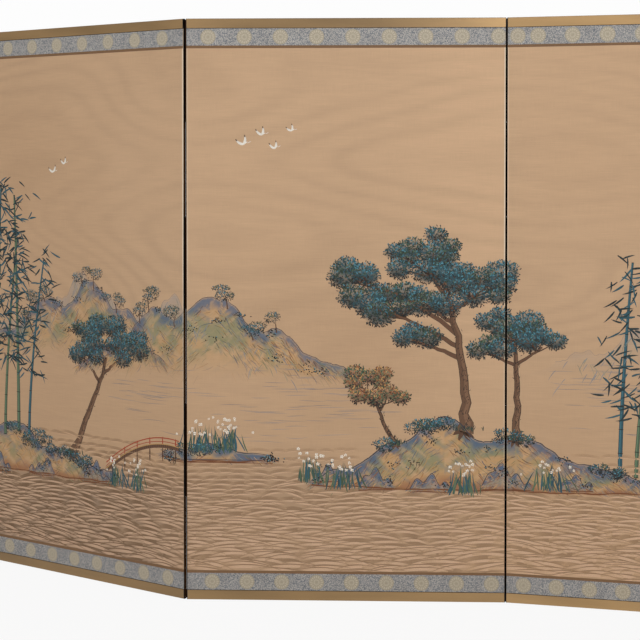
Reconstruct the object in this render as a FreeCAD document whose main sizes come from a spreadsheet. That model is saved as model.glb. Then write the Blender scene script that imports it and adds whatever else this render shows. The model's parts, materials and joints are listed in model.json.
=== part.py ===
import FreeCAD, Part
import Sketcher
import math
import os
import re

# A four-panel folding screen that stands open in a zigzag, in millimetres.
# Every panel is modelled in its own frame: X along its width, Y from front to back, Z up,
# with the centre of its wooden core at the origin. The panels are then set side by side,
# each turned about the fold that it shares with its neighbour.

SIZES = {
    # The panel as a whole
    "panel_width": "940",
    "panel_height": "1720",
    # The wooden core
    "core_depth": "8",
    "core_stile_width": "36",
    "core_rail_width": "36",
    "tenon_length": "14",
    "tenon_thickness": "3",
    "tenon_shoulder": "5",
    "lath_width": "18",
    "lattice_upright_count": "5",
    "lattice_crossbar_count": "11",
    # The sheets on the core
    "lining_thickness": "0.5",
    "sheet_thickness": "0.35",
    "brocade_width": "50",
    "brocade_thickness": "0.5",
    "fillet_width": "8",
    "fillet_thickness": "0.6",
    "shadow_gap": "1.5",
    "edge_margin": "1.2",
    # The lacquered frame
    "frame_width": "28",
    "frame_proud": "0.6",
    "frame_rounding": "1.8",
    "nail_radius": "1.2",
    "nail_length": "24",
    "nail_point": "3",
    "nail_clearance": "0.1",
    "rail_nail_count": "5",
    "stile_nail_count": "9",
    # The folds
    "fold_gap": "3",
    "fold_clearance": "0.3",
    "strip_thickness": "0.5",
    "strip_wing": "32",
    "strip_bead_radius": "1.35",
    "strip_clearance": "0.5",
    "strip_pair_count": "3",
    "strip_end_margin": "3",
    # How far each fold is closed where the screen stands
    "first_fold_degrees": "30",
    "second_fold_degrees": "34.9",
    "third_fold_degrees": "12.9",
}

DERIVED = {
    "half_panel": "panel_width / 2",
    "core_height": "panel_height - 2 * frame_width",
    "core_top": "core_height / 2",
    "core_front": "-core_depth / 2",
    "core_back": "core_depth / 2",
    "frame_reach": "core_back + lining_thickness + sheet_thickness + frame_proud",
    "brocade_top": "core_top - shadow_gap",
    "fillet_top": "brocade_top - brocade_width",
    "silk_top": "fillet_top - fillet_width",
    "lattice_top": "core_top - core_rail_width",
    "crossbar_pitch": "(2 * lattice_top + lath_width) / (lattice_crossbar_count + 1)",
    "fold_reach": "half_panel + fold_gap / 2",
    "fold_depth": "frame_reach + fold_clearance",
    "strip_inlet": "fold_depth - core_back",
    "zone_height": "core_height / (2 * strip_pair_count)",
    "strip_height": "zone_height - strip_clearance",
    "strip_end_length": "frame_width - strip_end_margin + strip_clearance / 2",
}

VALLEY = -1
MOUNTAIN = 1
FOLDS = [("first_fold_degrees", VALLEY), ("second_fold_degrees", MOUNTAIN), ("third_fold_degrees", VALLEY)]
ORIGIN = FreeCAD.Vector(0, 0, 0)
UPWARD = FreeCAD.Vector(0, 0, 1)

doc = FreeCAD.newDocument("folding_screen")


def bound(formula):
    """A formula in the sizes' plain names, as the document's expressions write it."""

    def spelled(match):
        word = match.group()
        return ("Sizes." if word in SIZES else "Derived.") + word

    return re.sub("[a-z_]+", spelled, formula)


def make_sheet(title, cells):
    sheet = doc.addObject("Spreadsheet::Sheet", title)
    for row, (alias, text) in enumerate(cells.items(), start=1):
        sheet.set(f"A{row}", alias)
        sheet.set(f"B{row}", text)
        sheet.setAlias(f"B{row}", alias)
    return sheet


sizes = make_sheet("Sizes", SIZES)
doc.recompute()
derived = make_sheet("Derived", {alias: "=" + bound(text) for alias, text in DERIVED.items()})
doc.recompute()


def new_body(label):
    body = doc.addObject("PartDesign::Body", label)
    body.Label = label
    return body


def origin_feature(body, role):
    for feature in body.Origin.OriginFeatures:
        if feature.Role == role:
            return feature
    raise ValueError(role)


def sketch_on(body, plane, offsets):
    """A sketch on one of the body's own planes, moved by formulas along its x, y and normal."""
    sketch = body.newObject("Sketcher::SketchObject", body.Name + "_sketch")
    sketch.AttachmentSupport = [(origin_feature(body, plane), "")]
    sketch.MapMode = "FlatFace"
    for axis, formula in offsets.items():
        sketch.setExpression(f"AttachmentOffset.Base.{axis}", bound(formula))
    return sketch


def hold_vertex(sketch, geometry, vertex, point):
    """Ties one vertex to the sketch's origin by two formulas."""
    for kind, formula in zip(("DistanceX", "DistanceY"), point):
        index = sketch.addConstraint(Sketcher.Constraint(kind, -1, 1, geometry, vertex, 0.0))
        sketch.setExpression(f"Constraints[{index}]", bound(formula))


def draw_polygon(sketch, points):
    """A closed outline. It starts as a regular polygon, and its formulas then place each corner."""
    corners = []
    for index in range(len(points)):
        turn = 2 * math.pi * index / len(points)
        corners.append(FreeCAD.Vector(math.cos(turn), math.sin(turn), 0))
    first = sketch.GeometryCount
    for start, end in zip(corners, corners[1:] + corners[:1]):
        sketch.addGeometry(Part.LineSegment(start, end), False)
    for index in range(len(points)):
        following = first + (index + 1) % len(points)
        sketch.addConstraint(Sketcher.Constraint("Coincident", first + index, 2, following, 1))
    for index, point in enumerate(points):
        hold_vertex(sketch, first + index, 1, point)


def draw_rectangle(sketch, left, right, low, high):
    draw_polygon(sketch, [(left, low), (right, low), (right, high), (left, high)])


def draw_circle(sketch, centre, radius):
    index = sketch.addGeometry(Part.Circle(ORIGIN, UPWARD, 1), False)
    hold_vertex(sketch, index, 3, centre)
    size = sketch.addConstraint(Sketcher.Constraint("Radius", index, 1.0))
    sketch.setExpression(f"Constraints[{size}]", bound(radius))


def add_feature(body, kind, sketch, length, backwards=False):
    feature = body.newObject("PartDesign::" + kind, f"{body.Name}_{kind}")
    feature.Profile = sketch
    feature.setExpression("Length", bound(length))
    feature.Reversed = backwards
    body.Tip = feature
    return feature


def pad(body, sketch, length):
    return add_feature(body, "Pad", sketch, length)


def pocket(body, sketch, depth, backwards=False):
    return add_feature(body, "Pocket", sketch, depth, backwards)


def repeat(body, features, axis, reach, count):
    """Repeats features along one of the body's axes: reach is from the first copy to the last."""
    pattern = body.newObject("PartDesign::LinearPattern", body.Name + "_row")
    pattern.Originals = features
    pattern.Direction = (origin_feature(body, axis), [""])
    pattern.setExpression("Length", bound(reach))
    pattern.setExpression("Occurrences", bound(count))
    body.Tip = pattern
    return pattern


def make_plate(label, x_range, y_range, z_range):
    plate = doc.addObject("Part::Box", label)
    for size, axis, (low, high) in zip(("Length", "Width", "Height"), "xyz", (x_range, y_range, z_range)):
        plate.setExpression(size, bound(f"({high}) - ({low})"))
        plate.setExpression(f"Placement.Base.{axis}", bound(low))
    return plate


def make_group(label, members):
    group = doc.addObject("Part::Compound", label)
    group.Label = label
    group.Links = members
    return group


class Panel:
    """One panel's name, its place, and formulas for where its core and borders end."""

    def __init__(self, number, place):
        self.name = f"panel_{number}"
        self.place = place
        self.first = number == 1
        self.last = number == len(FOLDS) + 1
        self.left = "-half_panel + frame_width" if self.first else "-half_panel"
        self.right = "half_panel - frame_width" if self.last else "half_panel"

    def label(self, part):
        return f"{self.name}_{part}"

    def inset(self, at_outer_edge):
        """The X range that keeps the edge margin at a fold and this distance at the outer edge."""
        left_inset = at_outer_edge if self.first else "edge_margin"
        right_inset = at_outer_edge if self.last else "edge_margin"
        return f"{self.left} + {left_inset}", f"{self.right} - ({right_inset})"

    def rail_nails(self):
        """The first nail's X, the distance to the last, in the frame rails."""
        pitch = f"(({self.right}) - ({self.left})) / rail_nail_count"
        return f"{self.left} + {pitch} / 2", f"{pitch} * (rail_nail_count - 1)"


def stile_nails():
    pitch = "panel_height / stile_nail_count"
    return f"-panel_height / 2 + {pitch} / 2", f"{pitch} * (stile_nail_count - 1)"


def bore_row(body, plane, offsets, centre, backwards, row):
    """A row of blind nail holes. row is its axis, its reach and its count."""
    sketch = sketch_on(body, plane, offsets)
    draw_circle(sketch, centre, "nail_radius + nail_clearance")
    hole = pocket(body, sketch, "nail_length / 2 + nail_clearance", backwards)
    repeat(body, [hole], *row)


def rebate_row(body, x_range, face, zone, backwards):
    """Shallow rebates in one face of a stile for the hinge strips' wings, in every second zone."""
    sketch = sketch_on(body, "XZ_Plane", {"z": face})
    low = f"-core_top + {zone} * zone_height + strip_clearance / 2"
    draw_rectangle(sketch, *x_range, low, f"{low} + strip_height")
    cut = pocket(body, sketch, "strip_thickness", backwards)
    repeat(body, [cut], "Z_Axis", "2 * zone_height * (strip_pair_count - 1)", "strip_pair_count")


def core_stile(panel, side):
    """One upright of the core, with two mortises and, at a fold, rebates for the hinge strips."""
    body = new_body(panel.label(f"core_stile_{side}"))
    if side == "left":
        outer, inner = panel.left, f"{panel.left} + core_stile_width"
        x_range, wing_range = (outer, inner), (outer, f"{outer} + strip_wing")
    else:
        outer, inner = panel.right, f"{panel.right} - core_stile_width"
        x_range, wing_range = (inner, outer), (f"{outer} - strip_wing", outer)
    sketch = sketch_on(body, "XY_Plane", {"z": "-core_top"})
    draw_rectangle(sketch, *x_range, "core_front", "core_back")
    pad(body, sketch, "core_height")
    sketch = sketch_on(body, "YZ_Plane", {"z": inner})
    low = "-core_top + tenon_shoulder"
    high = "-core_top + core_rail_width - tenon_shoulder"
    draw_rectangle(sketch, "-tenon_thickness / 2", "tenon_thickness / 2", low, high)
    mortise = pocket(body, sketch, "tenon_length", backwards=side == "right")
    repeat(body, [mortise], "Z_Axis", "core_height - core_rail_width", "2")
    if (side == "left" and panel.first) or (side == "right" and panel.last):
        first, reach = stile_nails()
        row = ("Z_Axis", reach, "stile_nail_count")
        bore_row(body, "YZ_Plane", {"z": outer}, ("0", first), side == "left", row)
        return body
    front_zone, back_zone = ("1", "0") if side == "left" else ("0", "1")
    rebate_row(body, wing_range, "-core_front", front_zone, backwards=False)
    rebate_row(body, wing_range, "-core_back", back_zone, backwards=True)
    return body


def core_stiles(panel):
    return make_group(panel.label("core_stiles"), [core_stile(panel, side) for side in ("left", "right")])


def core_rails(panel):
    """The two cross members between the stiles, with stub tenons, bored for the frame's nails."""
    body = new_body(panel.label("core_rails"))
    left, right = f"{panel.left} + core_stile_width", f"{panel.right} - core_stile_width"
    sketch = sketch_on(body, "XZ_Plane", {"z": "core_front"})
    draw_rectangle(sketch, left, right, "-core_top", "-lattice_top")
    bar = pad(body, sketch, "core_depth")
    sketch = sketch_on(body, "XZ_Plane", {"z": "-tenon_thickness / 2"})
    low, high = "-core_top + tenon_shoulder", "-lattice_top - tenon_shoulder"
    draw_rectangle(sketch, f"{left} - tenon_length", f"{right} + tenon_length", low, high)
    tenons = pad(body, sketch, "tenon_thickness")
    repeat(body, [bar, tenons], "Z_Axis", "core_height - core_rail_width", "2")
    first, reach = panel.rail_nails()
    row = ("X_Axis", reach, "rail_nail_count")
    bore_row(body, "XY_Plane", {"z": "-core_top"}, (first, "0"), True, row)
    bore_row(body, "XY_Plane", {"z": "core_top"}, (first, "0"), False, row)
    return body


def lattice_columns(panel):
    """The X of the first lattice upright's centre, and the pitch of the uprights."""
    room = f"(({panel.right}) - ({panel.left}) - 2 * core_stile_width)"
    pitch = f"(({room} + lath_width) / (lattice_upright_count + 1))"
    return f"{panel.left} + core_stile_width + {pitch} - lath_width / 2", pitch


def lattice_uprights(panel):
    """Upright laths with half of their depth cut away in front, where the crossbars lie."""
    body = new_body(panel.label("lattice_uprights"))
    centre, pitch = lattice_columns(panel)
    sketch = sketch_on(body, "XY_Plane", {"z": "-lattice_top"})
    sides = f"{centre} - lath_width / 2", f"{centre} + lath_width / 2"
    draw_rectangle(sketch, *sides, "core_front", "core_back")
    lath = pad(body, sketch, "2 * lattice_top")
    repeat(body, [lath], "X_Axis", f"{pitch} * (lattice_upright_count - 1)", "lattice_upright_count")
    sketch = sketch_on(body, "XZ_Plane", {"z": "-core_front"})
    low = "-lattice_top + crossbar_pitch - lath_width"
    left, right = f"{panel.left} + core_stile_width", f"{panel.right} - core_stile_width"
    draw_rectangle(sketch, left, right, low, f"{low} + lath_width")
    notch = pocket(body, sketch, "core_depth / 2")
    reach = "crossbar_pitch * (lattice_crossbar_count - 1)"
    repeat(body, [notch], "Z_Axis", reach, "lattice_crossbar_count")
    return body


def lattice_crossbars(panel):
    """Crossing laths with half of their depth cut away at the back, where the uprights stand."""
    body = new_body(panel.label("lattice_crossbars"))
    left, right = f"{panel.left} + core_stile_width", f"{panel.right} - core_stile_width"
    low = "-lattice_top + crossbar_pitch - lath_width"
    sketch = sketch_on(body, "XZ_Plane", {"z": "core_front"})
    draw_rectangle(sketch, left, right, low, f"{low} + lath_width")
    lath = pad(body, sketch, "core_depth")
    reach = "crossbar_pitch * (lattice_crossbar_count - 1)"
    repeat(body, [lath], "Z_Axis", reach, "lattice_crossbar_count")
    centre, pitch = lattice_columns(panel)
    sketch = sketch_on(body, "XY_Plane", {"z": "lattice_top"})
    sides = f"{centre} - lath_width / 2", f"{centre} + lath_width / 2"
    draw_rectangle(sketch, *sides, "0", "core_back")
    notch = pocket(body, sketch, "2 * lattice_top")
    repeat(body, [notch], "X_Axis", f"{pitch} * (lattice_upright_count - 1)", "lattice_upright_count")
    return body


def sheet(panel, part, x_range, y_range, top):
    """One sheet that covers the panel from top to bottom, as far up and down as top says."""
    plate = make_plate(panel.label(part + "_plate"), x_range, y_range, (f"-{top}", top))
    return make_group(panel.label(part), [plate])


def front_lining(panel):
    y_range = "core_front - lining_thickness", "core_front"
    return sheet(panel, "front_lining", (panel.left, panel.right), y_range, "core_top")


def back_lining(panel):
    y_range = "core_back", "core_back + lining_thickness"
    return sheet(panel, "back_lining", (panel.left, panel.right), y_range, "core_top")


def painted_silk(panel):
    x_range = panel.inset("shadow_gap + brocade_width + fillet_width")
    y_range = "core_front - lining_thickness - sheet_thickness", "core_front - lining_thickness"
    return sheet(panel, "painted_silk", x_range, y_range, "silk_top")


def back_cover(panel):
    y_range = "core_back + lining_thickness", "core_back + lining_thickness + sheet_thickness"
    return sheet(panel, "back_cover", panel.inset("shadow_gap"), y_range, "brocade_top")


def border(panel, part, outer_inset, top, width, thickness):
    """Strips above and below the picture, and one beside it on a panel at the screen's end."""
    y_range = f"core_front - lining_thickness - {thickness}", "core_front - lining_thickness"
    left, right = panel.inset(outer_inset)
    upper = (f"{top} - {width}", top)
    lower = (f"-{top}", f"-{top} + {width}")
    strips = [
        make_plate(panel.label(part + "_upper"), (left, right), y_range, upper),
        make_plate(panel.label(part + "_lower"), (left, right), y_range, lower),
    ]
    if panel.first or panel.last:
        x_range = (left, f"{left} + {width}") if panel.first else (f"{right} - {width}", right)
        between = (f"-{top} + {width}", f"{top} - {width}")
        strips.append(make_plate(panel.label(part + "_end"), x_range, y_range, between))
    return make_group(panel.label(part), strips)


def brocade_strips(panel):
    return border(panel, "brocade_strips", "shadow_gap", "brocade_top", "brocade_width", "brocade_thickness")


def fillet_strips(panel):
    outer_inset = "shadow_gap + brocade_width"
    return border(panel, "fillet_strips", outer_inset, "fillet_top", "fillet_width", "fillet_thickness")


def round_long_edges(body, feature, axis, chosen):
    """Rounds the feature's edges that run the full way along an axis and that chosen accepts."""
    doc.recompute()
    names = []
    longest = max(getattr(edge.BoundBox, axis + "Length") for edge in feature.Shape.Edges)
    for index, edge in enumerate(feature.Shape.Edges, start=1):
        middle = edge.BoundBox.Center
        if getattr(edge.BoundBox, axis + "Length") > longest / 2 and chosen(middle):
            names.append(f"Edge{index}")
    rounding = body.newObject("PartDesign::Fillet", body.Name + "_rounding")
    rounding.Base = (feature, names)
    rounding.setExpression("Radius", bound("frame_rounding"))
    body.Tip = rounding


def frame_rail(panel, end):
    """A lacquered rail across the top or bottom of the panel, rounded along its outer edges."""
    body = new_body(panel.label(f"frame_rail_{end}"))
    left, right = panel.left, panel.right
    upper = ("core_top", "core_top + frame_width")
    lower = ("-core_top - frame_width", "-core_top")
    sketch = sketch_on(body, "YZ_Plane", {"z": left})
    draw_rectangle(sketch, "-frame_reach", "frame_reach", *(upper if end == "top" else lower))
    bar = pad(body, sketch, f"({right}) - ({left})")
    middle = derived.core_top + sizes.frame_width / 2
    if end == "top":
        round_long_edges(body, bar, "X", lambda point: point.z > middle)
    else:
        round_long_edges(body, bar, "X", lambda point: point.z < -middle)
    first, reach = panel.rail_nails()
    row = ("X_Axis", reach, "rail_nail_count")
    face = "core_top" if end == "top" else "-core_top"
    bore_row(body, "XY_Plane", {"z": face}, (first, "0"), end == "top", row)
    return body


def frame_stile(panel):
    """The lacquered upright on the free edge of a panel at the screen's end."""
    side = "left" if panel.first else "right"
    body = new_body(panel.label(f"frame_stile_{side}"))
    x_range = ("-half_panel", panel.left) if panel.first else (panel.right, "half_panel")
    sketch = sketch_on(body, "XY_Plane", {"z": "-panel_height / 2"})
    draw_rectangle(sketch, *x_range, "-frame_reach", "frame_reach")
    bar = pad(body, sketch, "panel_height")
    middle = derived.half_panel - sizes.frame_width / 2
    if panel.first:
        round_long_edges(body, bar, "Z", lambda point: point.x < -middle)
    else:
        round_long_edges(body, bar, "Z", lambda point: point.x > middle)
    first, reach = stile_nails()
    face = panel.left if panel.first else panel.right
    row = ("Z_Axis", reach, "stile_nail_count")
    bore_row(body, "YZ_Plane", {"z": face}, ("0", first), panel.last, row)
    return body


def nail_row(body, offsets, upright, row):
    """A row of nails, pointed at both ends, turned about their own axis."""
    sketch = sketch_on(body, "XZ_Plane", offsets)
    end, shoulder = "nail_length / 2", "nail_length / 2 - nail_point"
    along = [f"-({end})", f"-({shoulder})", shoulder, end]
    across = ["0", "nail_radius", "nail_radius", "0"]
    draw_polygon(sketch, list(zip(across, along)) if upright else list(zip(along, across)))
    nail = body.newObject("PartDesign::Revolution", body.Name + "_nail")
    nail.Profile = sketch
    nail.ReferenceAxis = (sketch, ["V_Axis" if upright else "H_Axis"])
    body.Tip = nail
    repeat(body, [nail], *row)


def frame_nails(panel):
    """Hidden nails that hold the rails, and at the screen's ends the stile, to the core."""
    body = new_body(panel.label("frame_nails"))
    first, reach = panel.rail_nails()
    row = ("X_Axis", reach, "rail_nail_count")
    nail_row(body, {"x": first, "y": "-core_top"}, True, row)
    nail_row(body, {"x": first, "y": "core_top"}, True, row)
    if panel.first or panel.last:
        first, reach = stile_nails()
        face = panel.left if panel.first else panel.right
        nail_row(body, {"x": face, "y": first}, False, ("Z_Axis", reach, "stile_nail_count"))
    return body


def hinge_strips(label):
    """One panel's half of a fold's interleaved strips, about the fold's own axis.

    The panel's edge stands off in +X and its thickness runs in +Y. Every second zone holds a wing
    pasted on the near face, which crosses the gap to a rounded fold on the axis. The zones between
    hold a strip that comes round the panel's edge and is pasted on its far face. The last strip at
    each end runs on without its wing between the ends of the frame rails.
    """
    body = new_body(label)
    edge = "fold_gap / 2"
    near = "strip_inlet"
    far = "strip_inlet + core_depth"
    reach = "2 * zone_height * (strip_pair_count - 1)"
    upper_zone = {"z": "-core_top + zone_height + strip_clearance / 2"}
    sketch = sketch_on(body, "XY_Plane", upper_zone)
    wing = [
        ("0", "-strip_thickness / 2"),
        (edge, near),
        (f"{edge} + strip_wing", near),
        (f"{edge} + strip_wing", f"{near} + strip_thickness"),
        (edge, f"{near} + strip_thickness"),
        ("0", "strip_thickness / 2"),
    ]
    draw_polygon(sketch, wing)
    wing_pad = pad(body, sketch, "strip_height")
    sketch = sketch_on(body, "XY_Plane", upper_zone)
    draw_circle(sketch, ("0", "0"), "strip_bead_radius")
    bead = pad(body, sketch, "strip_height")
    repeat(body, [wing_pad, bead], "Z_Axis", reach, "strip_pair_count")
    top_end = {"z": "core_top - strip_clearance / 2"}
    sketch = sketch_on(body, "XY_Plane", top_end)
    draw_polygon(sketch, [wing[0], wing[1], wing[4], wing[5]])
    pad(body, sketch, "strip_end_length")
    sketch = sketch_on(body, "XY_Plane", top_end)
    draw_circle(sketch, ("0", "0"), "strip_bead_radius")
    pad(body, sketch, "strip_end_length")
    sketch = sketch_on(body, "XY_Plane", {"z": "-core_top + strip_clearance / 2"})
    wrap = [
        (f"{edge} - strip_thickness", f"{near} - lining_thickness"),
        (edge, f"{near} - lining_thickness"),
        (edge, f"{far} - strip_thickness"),
        (f"{edge} + strip_wing", f"{far} - strip_thickness"),
        (f"{edge} + strip_wing", far),
        (f"{edge} - strip_thickness", far),
    ]
    draw_polygon(sketch, wrap)
    wrap_pad = pad(body, sketch, "strip_height")
    repeat(body, [wrap_pad], "Z_Axis", reach, "strip_pair_count")
    sketch = sketch_on(body, "XY_Plane", {"z": "-core_top + strip_clearance / 2"})
    draw_polygon(sketch, [wrap[0], wrap[1], (edge, far), wrap[5]])
    add_feature(body, "Pad", sketch, "strip_end_length", backwards=True)
    return body


def fold_point(kind, side):
    """Where a fold's axis lies in the frame of the panel on its left or right."""
    across = derived.fold_reach if side == "left" else -derived.fold_reach
    return FreeCAD.Vector(across, kind * derived.fold_depth, 0)


def panel_places():
    """The places of all panels: each is turned about its left fold, and their chord lies along X."""
    places = [FreeCAD.Placement(ORIGIN, FreeCAD.Rotation())]
    heading = 0.0
    for size, kind in FOLDS:
        axis = places[-1].multVec(fold_point(kind, "left"))
        heading += kind * getattr(sizes, size)
        turn = FreeCAD.Rotation(UPWARD, heading)
        places.append(FreeCAD.Placement(axis - turn.multVec(fold_point(kind, "right")), turn))
    start = places[0].multVec(FreeCAD.Vector(-derived.half_panel, 0, 0))
    end = places[-1].multVec(FreeCAD.Vector(derived.half_panel, 0, 0))
    chord = end - start
    level = FreeCAD.Placement(ORIGIN, FreeCAD.Rotation(UPWARD, -math.degrees(math.atan2(chord.y, chord.x))))
    rise = FreeCAD.Placement(FreeCAD.Vector(0, 0, sizes.panel_height / 2), FreeCAD.Rotation())
    return [rise * level * place for place in places]


def hinge_place(panel, kind, side):
    """Turns the strips so that they reach the panel beside the fold, and face the right way."""
    turns = {
        (VALLEY, "right"): FreeCAD.Rotation(),
        (VALLEY, "left"): FreeCAD.Rotation(FreeCAD.Vector(0, 1, 0), 180),
        (MOUNTAIN, "right"): FreeCAD.Rotation(FreeCAD.Vector(1, 0, 0), 180),
        (MOUNTAIN, "left"): FreeCAD.Rotation(UPWARD, 180),
    }
    return panel.place * FreeCAD.Placement(fold_point(kind, side), turns[kind, side])


nodes = {}
panels = [Panel(number, place) for number, place in enumerate(panel_places(), start=1)]
for panel in panels:
    parts = [
        core_stiles(panel),
        core_rails(panel),
        lattice_uprights(panel),
        lattice_crossbars(panel),
        front_lining(panel),
        back_lining(panel),
        painted_silk(panel),
        back_cover(panel),
        brocade_strips(panel),
        fillet_strips(panel),
        frame_rail(panel, "top"),
        frame_rail(panel, "bottom"),
        frame_nails(panel),
    ]
    if panel.first or panel.last:
        parts.append(frame_stile(panel))
    for part in parts:
        nodes[part.Label] = (part, panel.place)
for number, (size, kind) in enumerate(FOLDS, start=1):
    for side, panel in zip(("left", "right"), panels[number - 1 : number + 1]):
        part = hinge_strips(f"fold_{number}_strips_{side}")
        nodes[part.Label] = (part, hinge_place(panel, kind, side))
for part, place in nodes.values():
    part.Placement = place
doc.recompute()

# The origin is the centre of the footprint, on the floor.
whole = FreeCAD.BoundBox()
for part, place in nodes.values():
    whole.add(part.Shape.optimalBoundingBox())
centring = FreeCAD.Placement(FreeCAD.Vector(-whole.Center.x, -whole.Center.y, 0), FreeCAD.Rotation())
for part, place in nodes.values():
    part.Placement = centring * place
doc.recompute()

for item in doc.Objects:
    if "Invalid" in item.State or "Error" in item.State:
        raise RuntimeError(f"{item.Label} failed: {item.State}")
for label, (part, place) in nodes.items():
    if part.Shape.isNull() or not part.Shape.isValid():
        raise RuntimeError(f"{label} has no valid shape")

for number, (size, kind) in enumerate(FOLDS, start=1):
    axis = (centring * panels[number].place).multVec(fold_point(kind, "right"))
    print(f"fold {number} axis at x {axis.x:.4f} y {axis.y:.4f}, closed by {getattr(sizes, size)} degrees")
for panel in panels:
    place = centring * panel.place
    heading = place.Rotation.toEuler()[0]
    print(f"{panel.name} centre x {place.Base.x:.4f} y {place.Base.y:.4f} heading {heading:.4f} degrees")
print(f"size {whole.XLength:.3f} x {whole.YLength:.3f} x {whole.ZLength:.3f}, lowest point {whole.ZMin:.4f}")

os.makedirs("parts", exist_ok=True)
for label, (part, place) in nodes.items():
    part.Shape.exportStep(f"parts/{label}.step")
print(f"{len(nodes)} nodes")
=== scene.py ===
import json
import math

import bpy
import numpy as np
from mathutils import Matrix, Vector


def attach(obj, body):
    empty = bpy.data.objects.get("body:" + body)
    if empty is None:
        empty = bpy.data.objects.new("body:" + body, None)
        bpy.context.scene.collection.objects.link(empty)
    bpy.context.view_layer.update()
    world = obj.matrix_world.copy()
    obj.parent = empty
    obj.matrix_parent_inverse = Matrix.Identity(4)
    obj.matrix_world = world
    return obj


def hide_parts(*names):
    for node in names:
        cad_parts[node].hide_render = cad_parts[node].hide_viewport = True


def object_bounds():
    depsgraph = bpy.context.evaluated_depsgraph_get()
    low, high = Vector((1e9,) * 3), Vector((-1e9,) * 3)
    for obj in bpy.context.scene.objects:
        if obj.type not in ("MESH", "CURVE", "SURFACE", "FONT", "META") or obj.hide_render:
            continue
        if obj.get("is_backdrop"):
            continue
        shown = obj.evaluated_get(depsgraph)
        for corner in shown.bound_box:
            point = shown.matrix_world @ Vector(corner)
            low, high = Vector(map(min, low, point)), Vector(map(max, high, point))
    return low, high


# A folding screen of four panels. The wooden frame, the papers and the hinges are the packed
# model's own. This script adds the painted silk, the brocade borders and every finish.
# Sizes are in millimetres, in each panel's own frame: X across it, Y to its back, Z up from
# its middle. The picture has its own measure too: u from the screen's left end, v from the
# foot of the silk, so that one picture runs on over all four panels.

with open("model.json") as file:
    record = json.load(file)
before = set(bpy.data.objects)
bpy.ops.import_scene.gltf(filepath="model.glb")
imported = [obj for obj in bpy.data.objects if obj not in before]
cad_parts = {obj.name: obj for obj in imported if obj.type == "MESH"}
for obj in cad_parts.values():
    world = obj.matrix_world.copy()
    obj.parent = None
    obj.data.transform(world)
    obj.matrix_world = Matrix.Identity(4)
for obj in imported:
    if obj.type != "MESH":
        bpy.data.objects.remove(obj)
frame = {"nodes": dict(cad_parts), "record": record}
cad_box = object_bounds()

PANEL_WIDTH = 940.0
PANEL_HEIGHT = 1720.0
SILK_TOP = 772.5
SILK_FRONT = 4.85
SILK_BACK = 4.5
BROCADE_TOP = 830.5
BROCADE_FOOT = 780.5
BROCADE_FRONT = 5.0
FOLD_MARGINS = {1: 1.2, 2: 1.2, 3: 1.6}
END_MARGIN = 29.5
BROCADE_WIDTH = 50.0
FILLET_WIDTH = 8.0
PICTURE_HEIGHT = 2 * SILK_TOP
PICTURE_WIDTH = 4 * PANEL_WIDTH


def hex_colour(text):
    """A colour written as sRGB hex, as linear red, green and blue."""
    parts = np.array([int(text[i : i + 2], 16) for i in (1, 3, 5)]) / 255
    return np.where(parts <= 0.04045, parts / 12.92, ((parts + 0.055) / 1.055) ** 2.4)


def rgba(text):
    return (*hex_colour(text), 1.0)


def pair(first, second):
    """Two arrays of numbers as points on a plane."""
    return np.stack([first, second], axis=-1)


class Panel:
    """Where one panel stands, and how far its silk and its borders reach across it."""

    def __init__(self, number):
        self.number, self.body = number, f"panel_{number}"
        mounts = {mount["name"]: mount for mount in frame["record"]["mounts"]}
        self.centre = np.array(mounts[f"{self.body}_foot"]["pos_m"][:2])
        lining = frame["nodes"][f"{self.body}_front_lining"].data
        points = np.empty(len(lining.vertices) * 3)
        lining.vertices.foreach_get("co", points)
        spread = np.linalg.eigh(np.cov(points.reshape(-1, 3)[:, :2].T))[1][:, 1]
        self.heading = math.atan(spread[1] / spread[0])
        half = PANEL_WIDTH / 2
        self.first, self.last = number == 1, number == 4
        self.border = (-half + (END_MARGIN if self.first else FOLD_MARGINS[number - 1]),
                       half - (END_MARGIN if self.last else FOLD_MARGINS[number]))
        beside = BROCADE_WIDTH + FILLET_WIDTH
        self.silk = (self.border[0] + beside * self.first, self.border[1] - beside * self.last)
        self.start = (number - 1) * PANEL_WIDTH
        self.middle = self.start + half

    def place(self, points):
        """Points of the panel's own frame, as points of the row frame in metres."""
        cos, sin = math.cos(self.heading), math.sin(self.heading)
        x, y, z = points.T
        return np.stack([
            (x * cos - y * sin) / 1000 + self.centre[0],
            (x * sin + y * cos) / 1000 + self.centre[1],
            (z + PANEL_HEIGHT / 2) / 1000,
        ], axis=-1)


PANELS = [Panel(number) for number in (1, 2, 3, 4)]

# The camera stands where the photograph's camera stood, upright but for a small tilt.
CAMERA_PLACE = (1.6580, -4.7904, 1.2776)
CAMERA_DOWN, CAMERA_TURN = 1.378, 15.394
camera = bpy.data.objects.new("camera", bpy.data.cameras.new("camera"))
bpy.context.scene.collection.objects.link(camera)
camera.location = CAMERA_PLACE
camera.rotation_euler = (math.radians(90 - CAMERA_DOWN), 0, math.radians(CAMERA_TURN))
camera.data.sensor_width, camera.data.lens = 36, 93.202
camera.data.shift_y = -0.1739
camera.data.clip_end = 60
bpy.context.scene.camera = camera
bpy.context.scene.view_settings.view_transform = "Standard"


# Materials

def join(node, inputs):
    """Fills a node's inputs, by name or by number, each with a plain value or another node's output."""
    for name, value in inputs.items() if isinstance(inputs, dict) else enumerate(inputs):
        if isinstance(value, bpy.types.NodeSocket):
            node.id_data.links.new(value, node.inputs[name])
        else:
            node.inputs[name].default_value = value


def add(tree, kind, inputs=(), out=0, **settings):
    """Adds one node with its settings and its inputs, and returns one of its outputs."""
    node = tree.nodes.new("ShaderNode" + kind)
    for name, value in settings.items():
        setattr(node, name, value)
    join(node, inputs)
    return node.outputs[out]


NOISE_REACH = (0.25, 0.75)


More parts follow.
